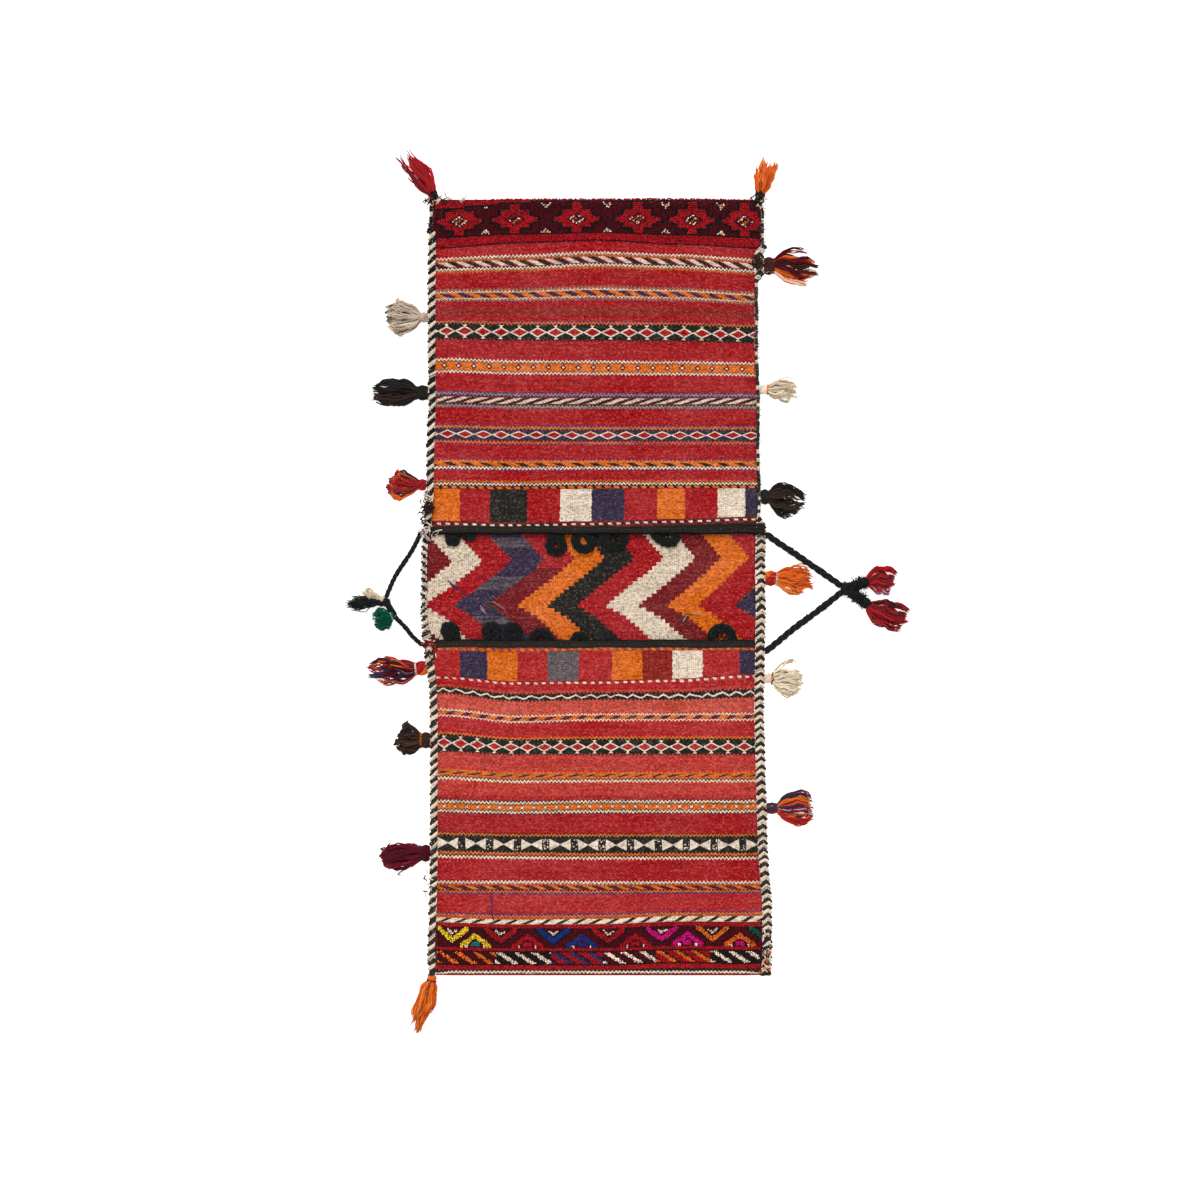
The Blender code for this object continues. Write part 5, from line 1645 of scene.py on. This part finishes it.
def mouth_band(upper: bool, material: Material) -> Piece:
    """The dark band along a pouch's mouth, of yarns laid side by side."""
    name = "mouth_binding_" + ("upper" if upper else "lower")
    mouth = BAG.upper_mouth_y if upper else BAG.lower_mouth_y
    sign = 1.0 if upper else -1.0
    shares = np.linspace(0.0, 1.0, 130)
    chance = np.random.default_rng(520 + int(sign))
    y = mouth + sign * BAG.mouth_binding / 2
    x = BAG.across(np.full_like(shares, y), shares)
    x[0] += 0.0006
    x[-1] -= 0.0006
    z = BAG.cloth_thickness + BAG.hollow(shares) + BAG.mouth_thickness / 2 + GAP
    over = smooth((shares - 0.955) / 0.035) * (1.0 if upper else 0.0)
    x = x + over * 0.0140
    z = z + over * 0.0042
    wave = 0.0005 * np.sin(x * 60.0 + 1.0) + 0.0003 * np.sin(x * 151.0)
    skein = Skein()
    core = np.stack((x, np.full_like(x, y) + wave, z), axis=-1)
    skein.lay(core[None], BAG.mouth_binding / 2 - 0.0009, [BLACK], 521, flat=0.36)
    for yarn in range(9):
        angle = math.pi * (yarn + 0.5) / 9
        out = math.cos(angle) * (BAG.mouth_binding / 2 - 0.0009)
        rise = math.sin(angle) * (BAG.mouth_thickness / 2 - 0.0007)
        stray = np.interp(x, np.linspace(x[0], x[-1], 60), chance.normal(0.0, 0.00028, 60))
        broad = smooth((shares - 0.60) / 0.36) * (1.0 if upper else 0.0)
        shift = out * (1.0 + 0.5 * broad) + 0.0026 * broad + stray
        line = core + np.stack((np.zeros_like(x), shift, rise + np.abs(stray)), axis=-1)
        skein.lay(line[None], 0.00105, [(BLACK, BARK, BLACK)[yarn % 3]], 522 + yarn)
    worn = 0.55 * smooth((shares - 0.20) / 0.25) * (1.0 if upper else 0.3)
    left = smooth((shares - 0.01) / 0.02) * (1.0 - worn)
    edge = core - (0.0, sign * (BAG.mouth_binding / 2 + 0.0006), 0.0)
    edge[:, 2] = BAG.cloth_thickness + GAP + 0.0020
    for strand in plait(edge, 0.0010, 0.0006, 0.013):
        skein.lay(strand[None], (0.00125 * left + 0.0002)[None], [SOOT], 533)
    fuzz(skein, core, BAG.mouth_thickness / 2, 900, 0.0018, BARK, 543)
    fuzz(skein, core, BAG.mouth_thickness / 2, 500, 0.0018, GREY, 545)
    return piece_of(name, skein, material)


# Place along half the width, outer width, reach and lean of each loop
UPPER_LOOPS = (
    (-0.900, 0.024, 0.021, 0.0), (-0.798, 0.024, 0.013, 0.0), (-0.256, 0.034, 0.036, 0.0),
    (-0.094, 0.038, 0.032, 0.004), (0.103, 0.046, 0.028, 0.002), (0.419, 0.046, 0.022, 0.008),
)
LOWER_LOOPS = (
    (-0.900, 0.030, 0.030, -0.006), (-0.659, 0.031, 0.030, 0.0), (-0.528, 0.031, 0.029, 0.0),
    (-0.350, 0.040, 0.020, 0.0), (-0.106, 0.032, 0.015, 0.0), (0.078, 0.030, 0.008, 0.0),
    (0.778, 0.046, 0.027, 0.0),
)


def loop_line(width: float, reach: float, lean: float) -> Array:
    """A braided loop's centre line: how far sideways and out from the mouth, as its solid has it."""
    half, tip = width / 2 - 0.0068, reach - 0.0064
    depth = min(half, (tip + 0.008) * 0.75)
    centre = tip - depth
    leg = (0.011 + 0.0014) / 2
    by_leg = math.pi - math.asin(min(1.0, leg / half))
    by_root = math.acos(max(-1.0, min(1.0, (-0.008 - centre) / depth)))
    opening = min(by_leg, by_root)
    angle = np.linspace(-opening, opening, 40)
    line = np.stack((half * np.sin(angle), centre + depth * np.cos(angle)), axis=-1)
    if by_leg < by_root:
        first, last = line[0], line[-1]
        run = np.linspace(0.0, 1.0, 8, endpoint=False)[:, None]
        foot_a, foot_b = np.array((first[0], -0.008)), np.array((last[0], -0.008))
        line = np.concatenate((foot_a + (first - foot_a) * run, line, (foot_b + (last - foot_b) * run)[::-1]))
    line[:, 0] += lean * line[:, 1] / tip
    return line


def closure_loops(material: Material) -> None:
    """Make the braided loops at both mouths."""
    for upper, specs in ((True, UPPER_LOOPS), (False, LOWER_LOOPS)):
        mouth = BAG.upper_mouth_y if upper else BAG.lower_mouth_y
        outward = -1.0 if upper else 1.0
        for index, (place, width, reach, lean) in enumerate(specs, start=1):
            flat = loop_line(width, reach, lean)
            line = np.stack((place * BAG.half_width + flat[:, 0], mouth + outward * flat[:, 1],
                             np.full(len(flat), BAG.cloth_thickness + GAP + 0.0040)), axis=-1)
            line = evenly(line, max(18, round(length_of(line) / 0.0016)))
            skein = Skein(sides=6)
            skein.lay(plait(line, 0.0043, 0.0013, 0.0230), 0.0033, [SOOT], 540 + index)
            fuzz(skein, line, 0.0058, int(length_of(line) * 5200), 0.0021, BLACK, 560 + index)
            name = f"closure_loop_{'upper' if upper else 'lower'}_{index}"
            piece_of(name, skein, material)


# Middle columns of the stars, and of the small V's and roofs between them
STAR_COLUMNS = (-137.5, -82.0, -20.0, 40.5, 95.0, 147.0)
VEE_COLUMNS = (-111, -51, 10.5, 68.5, 123.5)
# Distance from a star's centre row up to which each half width holds
STAR_STEPS = ((1.6, 22.5), (3.4, 17.5), (8.5, 14.0), (14.8, 4.8))


def star_half(down: Array) -> Array:
    """Half width of a star at a distance from its centre row."""
    half = np.full_like(down, -1.0)
    for limit, width in reversed(STAR_STEPS):
        half = np.where(down <= limit, width, half)
    return half


def star_band(u: Array, v: Array) -> Array:
    """Colours of the pile band with the red stars, at the top of the bag."""
    colour = np.tile(np.array(MAROON), (len(u), 1))
    middle = 17.0
    for column in STAR_COLUMNS:
        aside, down = np.abs(u - column), np.abs(v - middle)
        half = star_half(down)
        outline = np.maximum(star_half(np.maximum(down - 2.1, 0.0)) + 3.2, 0.0) * (down < 17.0)
        colour[aside < outline] = PILE_BLACK
        colour[aside < half] = PILE_RED
        ring = aside / 8.0 + down / 5.2
        slant = (u + v * 1.3) / 6.5
        hatch = slant - np.floor(slant) < 0.5
        colour[ring < 1.25] = PILE_BLACK
        colour[(ring < 1.0) & hatch] = CREAM
        colour[(ring < 1.0) & ~hatch] = PILE_RED
        colour[ring < 0.60] = PILE_BLACK
        colour[(ring < 0.42) & hatch] = ORANGE
    for column in VEE_COLUMNS:
        for row, way in ((5.0, 1.0), (28.2, -1.0)):
            aside, down = np.abs(u - column), (v - row) * way
            near = (np.abs(down) < 2.6) & (aside < 4.4)
            colour[near & (down < 2.6 - aside * 0.3)] = PILE_BLACK
            colour[near & (np.abs(down - 1.2 + aside * 0.9) < 1.2)] = CREAM
            colour[near & (np.abs(down + 1.4) < 0.7) & (aside < 1.4)] = ORANGE
    hem = 1.2 + np.clip((-60.0 - u) / 90.0, 0.0, 1.0) * 3.8
    colour[(v < hem + 1.5) | (v > 30.0)] = PILE_BLACK
    colour[(v < hem) | (v > 31.4)] = PILE_RED
    return colour


VEES = ((453, YELLOW), (501, PILE_RED), (553.6, ROYAL), (608.7, PILE_RED), (661.8, MAGENTA), (712, ORANGE),
        (765, GREEN))
ROOFS = ((475.6, YELLOW), (527.6, PILE_RED), (581.8, ROYAL), (635.2, PILE_RED), (687.3, MAGENTA),
         (739.4, ORANGE))
# Column of the photo, in which the tables above count, that is the middle of the cloth
PHOTO_MIDDLE = 597
# First and last column of each group of slanted bars, its ground and its bars' yarn
BAR_GROUPS = (
    (-160, -101, MAROON, ORANGE), (-101, -46, PILE_BLACK, CREAM), (-46, 6, PILE_RED, BLUE),
    (6, 58, MAROON, CREAM), (58, 113, PILE_RED, ORANGE), (113, 180, PILE_BLACK, CREAM),
)


def triangle_band(u: Array, v: Array) -> Array:
    """Colours of the pile band with the triangles and slanted bars, at the bottom of the bag."""
    colour = np.tile(np.array(PILE_RED), (len(u), 1))
    inside = (v > 727.0) & (v < 747.0)
    colour[inside] = MAROON
    for middle, yarn in VEES:
        aside = np.abs(u - (middle - PHOTO_MIDDLE))
        line = 740.0 - aside * (12.0 / 15.5)
        colour[inside & (np.abs(v - line) < 4.9) & (aside < 20)] = PILE_BLACK
        colour[inside & (np.abs(v - line) < 3.0) & (aside < 16.5)] = yarn
        colour[inside & (np.abs(v - 733.5 + aside * 0.7) < 1.2) & (aside < 5)] = CREAM
    for middle, yarn in ROOFS:
        aside = np.abs(u - (middle - PHOTO_MIDDLE))
        line = 735.5 + aside * (10.8 / 15.5)
        colour[inside & (np.abs(v - line) < 2.7) & (aside < 15.5)] = yarn
        heart = {YELLOW: TEAL, ORANGE: MAGENTA}.get(yarn, yarn)
        colour[inside & (aside < 4.2) & (np.abs(v - 743.2) < 2.0)] = heart
        colour[inside & (np.abs(aside - 8.5) < 1.2) & (np.abs(v - 745.6) < 1.2)] = CREAM
    for low, high, ground, yarn in BAR_GROUPS:
        group = (u >= low) & (u < high) & (v > 751.5) & (v < 762.5)
        colour[group] = ground
        along = (u - low - (v - 751.5) * 1.55) / 17.5
        share = along - np.floor(along)
        colour[group & (share < 0.36)] = yarn
        colour[group & (share >= 0.36) & (share < 0.50) & (ground != PILE_BLACK)] = PILE_BLACK
    colour[(v > 750.2) & (v <= 751.5)] = PILE_BLACK
    colour[(v >= 762.5) & (v < 763.8)] = PILE_BLACK
    return colour


# Picks between two tufts along and across, and a tuft's height and radii from root to tip
PILE_ROW, PILE_COLUMN = 1.42, 1.62
TUFT_HEIGHT = 0.0026
TUFT_RADII = (0.00115, 0.00150, 0.00105)


def pile(name: str, start: float, end: float, design: Design, material: Material,
         seed: int) -> Piece:
    """Knot a pile band: thousands of short cut tufts, each in its design's colour.

    Args:
        name: the piece's name.
        start, end: first and last drafted row.
        design: gives the colour at columns and rows.
        material: the wool.
        seed: start of the tufts' unevenness.

    Returns:
        The piece.
    """
    chance = np.random.default_rng(seed)
    rows = np.arange(start, end, PILE_ROW)
    columns = int((BAG.cloth_width - 0.004) / (PILE_COLUMN * BAG.pick))
    share = (np.arange(columns) + 0.5) / columns
    share, row = np.meshgrid(share * 0.988 + 0.006, rows)
    share, row = share.ravel(), row.ravel()
    share = np.clip(share + chance.normal(0.0, 0.0005, len(share)), 0.005, 0.995)
    root, normal = BAG.front(share, row + chance.normal(0.0, 0.16, len(row)))
    u = root[:, 0] / BAG.pick
    colour = design(u, row)
    fade = np.clip(chance.normal(1.08, 0.20, (len(u), 1)), 0.60, 1.5)
    patch = 1.0 + 0.10 * np.sin(u * 0.045 + 1.0)[:, None] * np.sin(row * 0.21)[:, None]
    upper = start < BAG.rows / 2
    lean = np.array((0.0, -0.55 if upper else -0.35, 0.0))
    way = unit(normal + lean + chance.normal(0.0, 0.20, root.shape))
    height = TUFT_HEIGHT * chance.uniform(0.8, 1.15, (len(u), 1))
    steps = np.array((0.0, 0.45, 1.0))[None, :, None]
    lines = root[:, None] - normal[:, None] * 0.0003 + way[:, None] * (height[:, None] * steps)
    radii = np.array(TUFT_RADII)[None] * chance.uniform(0.88, 1.12, (len(u), 1))
    skein = Skein(sides=4)
    skein.lay(lines, radii, colour * fade * patch, seed + 1, guide=(1.0, 0.05, 0.0))
    return dress(new_piece(name, skein.mesh(name), material), None)


def edge_tuft(material: Material) -> Piece:
    """The small worn tuft that stands on the left binding beside the upper mouth."""
    y = 0.205 * BAG.half_length
    chance = np.random.default_rng(601)
    base_z = ROOT_Z + BAG.binding_height / 2 + GAP
    centre = np.array((float(BAG.edge(LEFT, y)) - GAP - BAG.left_binding / 2, y, base_z))
    count = 120
    angle = chance.uniform(0.0, TURN, count)
    size = np.sqrt(chance.uniform(0.0, 1.0, count)) * 0.0105
    share = np.linspace(0.0, 1.0, 6)[None, :, None]
    out = np.stack((np.cos(angle), np.sin(angle), np.zeros(count)), axis=-1)
    rise = chance.uniform(0.5, 1.0, (count, 1, 1)) * 0.0088
    lines = centre + out[:, None] * (size[:, None, None] * (0.25 + 0.75 * share)) + UP * rise * share
    lines = lines + chance.normal(0.0, 0.0006, (count, 1, 3)) * share
    skein = Skein()
    dyes = [BROWN if value < 0.6 else BLACK for value in chance.uniform(0.0, 1.0, count)]
    skein.lay(lines, 0.00095, dyes, 602)
    return piece_of("edge_tuft_brown", skein, material)


# Radii of the yarn of the darns and of the loose ends
DARN_YARN, LOOSE_YARN = 0.00105, 0.00100
# Single stitches of the darns: first column and row, last column and row, and yarn
STITCHES = (
    (-149, 381, -131, 396, NAVY), (-147, 384, -140, 390, BLUE), (-110, 403, -99, 411, GREEN),
    (-109.4, 405, -101, 411.6, GREEN), (-104, 402, -92, 410, GREY), (-102, 404, -94, 410.6, DEEP_RED),
    (-112, 405, -108, 409, PILE_RED), (-117, 406, -112, 411, GREY), (-116, 409, -111, 414, GREY),
    (88, 414, 97, 415.5, GREEN), (87, 416, 83, 421, GREEN), (89, 417, 86, 422, GREY),
    (88, 423, 92, 426, GREEN), (97, 414.5, 104, 416, GREY), (162, 397, 163, 406, GREEN),
    (-106, 695, -104.6, 703, NAVY), (-104.6, 703, -105.4, 711, BLUE), (-105.4, 711, -103, 720, NAVY),
)
# Places where loose ends lie: left, top, right and bottom, yarns, how many, and how far they reach
FRAYS = (
    (-173, 294, -163, 301, (CREAM, CREAM, BARK), 11, 8.0),
    (-177, 300, -165, 318, (BARK, BROWN), 16, 6.0),
    (-176, 320, -162, 335, (CREAM, SOOT, SOOT, CREAM, LILAC), 24, 9.0),
    (-172, 442, -160, 447, (RED, DEEP_RED), 14, 8.0),
    (-170, 438, -158, 462, (CREAM, BARK), 16, 6.0),
    (166, 730, 180, 752, (BARK, CREAM, SOOT), 18, 6.0),
    (160, 750, 184, 774, (CREAM, ORANGE, BARK, SOOT), 34, 7.0),
    (-172, 668, -164, 700, (BARK, CREAM), 12, 6.0),
    (-165, -1, -148, 3, (BEIGE, SOOT, BEIGE), 12, 7.0),
    (-170, -7, -159, 4, (SOOT, CREAM, SOOT, RED), 24, 5.5),
    (156, -5, 167, 10, (SOOT, BARK, CREAM, SOOT), 28, 6.0),
    (65, 333, 72, 337, (SOOT, BLACK), 30, 3.6),
    (16, 333, 21, 337, (SOOT, BLACK), 14, 3.6),
    (157, 59, 165, 70, (BROWN, SOOT, BARK, BROWN, MAROON), 60, 4.6),
    (119, 434, 129, 440, (SOOT, BLACK, DEEP_RED), 14, 5.0),
    (-138, 0, -128, 3, (BEIGE,), 5, 5.0),
)


def on_cloth_at(us: Array, vs: Array, lift: Array) -> Array:
    """Points on the cloth's upper face at columns and rows, lifted a little."""
    y = BAG.half_length - vs * BAG.pick
    leftmost, rightmost = float(BAG.edge(LEFT, 0.0)) - 0.020, float(BAG.edge(RIGHT, 0.0)) + 0.022
    x = np.clip(us * BAG.pick, leftmost, rightmost)
    on_bridge = (y < BAG.upper_mouth_y) & (y > BAG.lower_mouth_y)
    shares = np.clip((x - BAG.edge(LEFT, y)) / BAG.cloth_width, 0.001, 0.999)
    z = np.where(on_bridge, BAG.cloth_thickness, BAG.front(shares, vs)[0][:, 2])
    for side in Side:
        past_cloth = side.value * (x - BAG.edge(side, y)) + 0.0012
        past_binding = side.value * (x - BAG.binding_outside(side, y))
        over = BAG.binding_height + 0.0008 - np.maximum(past_binding, 0.0) * 0.6
        z = np.where(past_cloth > 0.0, np.maximum(over, 0.0012), z)
    return np.stack((x, y, z + lift), axis=-1)


def repairs(material: Material) -> Piece:
    """Darns and loose ends of yarn that lie on the cloth."""
    skein = Skein()
    chance = np.random.default_rng(611)
    run = np.linspace(0.0, 1.0, 11)
    for index, (first, top, last, bottom, dye) in enumerate(STITCHES):
        us = np.interp(run, (0, 1), (first, last))
        vs = np.interp(run, (0, 1), (top, bottom))
        line = on_cloth_at(us, vs, 0.0004 + np.sin(run * math.pi) * 0.0004)
        skein.lay(line[None], DARN_YARN, [dye], 620 + index)
    for index, (left, top, right, bottom, yarns, count, reach) in enumerate(FRAYS):
        for thread in range(count):
            turn, bend = chance.uniform(0.0, TURN), chance.normal(0.0, 1.6)
            heading = turn + bend * run
            size = reach * chance.uniform(0.6, 1.0)
            us = chance.uniform(left, right) + np.cumsum(np.cos(heading)) * size / len(run)
            vs = chance.uniform(top, bottom) + np.cumsum(np.sin(heading)) * size / len(run)
            lift = 0.0008 + np.sin(run * math.pi) * 0.0022 + chance.uniform(0.0, 0.001)
            skein.lay(on_cloth_at(us, vs, lift)[None], LOOSE_YARN, [yarns[thread % len(yarns)]],
                      700 + index * 80 + thread)
    return dress(new_piece("cloth_repairs", skein.mesh("cloth_repairs"), material), None)


@dataclass
class Studio:
    """White ground, soft light and a camera straight above."""

    aim: tuple[float, float] = (0.0046, -0.0193)
    height: float = 5.155
    lens: float = 100.0
    ground_size: float = 12.0
    ground_z: float = -0.0008
    ground_glow: float = 0.74
    sky: float = 0.58
    sun: float = 1.5
    sun_angle: float = 0.55
    sun_from: tuple[float, float, float] = (-0.25, 0.75, 1.0)

    def camera(self) -> None:
        """Place the camera."""
        lens = bpy.data.cameras.new("camera")
        lens.lens = self.lens
        lens.clip_end = 50.0
        piece = bpy.data.objects.new("camera", lens)
        piece.location = (*self.aim, self.height)
        bpy.context.scene.collection.objects.link(piece)
        bpy.context.scene.camera = piece

    def ground(self) -> None:
        """A wide white sheet just under the bag, which shows only faint shadows."""
        mesh = bpy.data.meshes.new("ground")
        size, low = self.ground_size, self.ground_z
        mesh.from_pydata([(-size, -size, low), (size, -size, low), (size, size, low), (-size, size, low)], [],
                         [(0, 1, 2, 3)])
        sheet = bpy.data.objects.new("ground", mesh)
        bpy.context.scene.collection.objects.link(sheet)
        material = bpy.data.materials.new("ground")
        material.use_nodes = True
        nodes, links = material.node_tree.nodes, material.node_tree.links
        shader = nodes["Principled BSDF"]
        shader.inputs["Base Color"].default_value = (0.9, 0.9, 0.9, 1.0)
        shader.inputs["Roughness"].default_value = 1.0
        shader.inputs["Specular IOR Level"].default_value = 0.0
        glow = nodes.new("ShaderNodeEmission")
        glow.inputs["Color"].default_value = (1.0, 1.0, 1.0, 1.0)
        glow.inputs["Strength"].default_value = self.ground_glow
        both = nodes.new("ShaderNodeAddShader")
        links.new(shader.outputs[0], both.inputs[0])
        links.new(glow.outputs[0], both.inputs[1])
        links.new(both.outputs[0], nodes["Material Output"].inputs["Surface"])
        mesh.materials.append(material)

    def light(self) -> None:
        """Even white light from all round, and a broad soft lamp from the top of the picture."""
        scene = bpy.context.scene
        world = bpy.data.worlds.new("white_room")
        scene.world = world
        world.use_nodes = True
        background = world.node_tree.nodes["Background"]
        background.inputs["Color"].default_value = (1.0, 1.0, 1.0, 1.0)
        background.inputs["Strength"].default_value = self.sky
        sun = bpy.data.lights.new("window", "SUN")
        sun.energy = self.sun
        sun.angle = self.sun_angle
        lamp = bpy.data.objects.new("window", sun)
        lamp.rotation_euler = Vector(self.sun_from).to_track_quat("Z", "Y").to_euler()
        scene.collection.objects.link(lamp)
        scene.view_settings.view_transform = "Standard"
        scene.view_settings.look = "None"


def clear_defaults() -> None:
    """Remove the default cube, light and camera."""
    for piece in list(bpy.context.scene.objects):
        bpy.data.objects.remove(piece)


def main() -> None:
    """Make the whole picture."""
    logging.basicConfig(level=logging.INFO, format="%(message)s")
    clear_defaults()
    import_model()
    studio = Studio()
    studio.camera()
    rope_wool = wool("rope_wool", 2.0, 0.005, 0.45)
    loose_wool = wool("loose_wool", 2.0, 0.0045, 0.34)
    binding_wool = wool("binding_wool", 2.0, 0.004, 0.40)
    pile_wool = wool("pile_wool", 3.0, 0.02, 0.15)
    right_ropes(rope_wool, loose_wool)
    left_ropes(rope_wool, loose_wool)
    cloth = KilimStrip().build()
    on_cloth = [
        pile("pile_stars", 0.0, 39.0, star_band, pile_wool, 701),
        pile("pile_triangles", 725.0, 768.5, triangle_band, pile_wool, 711),
        repairs(loose_wool),
    ]
    for side in Side:
        side_binding(side, binding_wool)
    for upper in (True, False):
        mouth_band(upper, binding_wool)
    closure_loops(wool("loop_wool", 2.0, 0.0065, 0.62))
    edge_tassels(loose_wool)
    edge_tuft(loose_wool)
    studio.ground()
    studio.light()


if __name__ == "__main__":
    main()
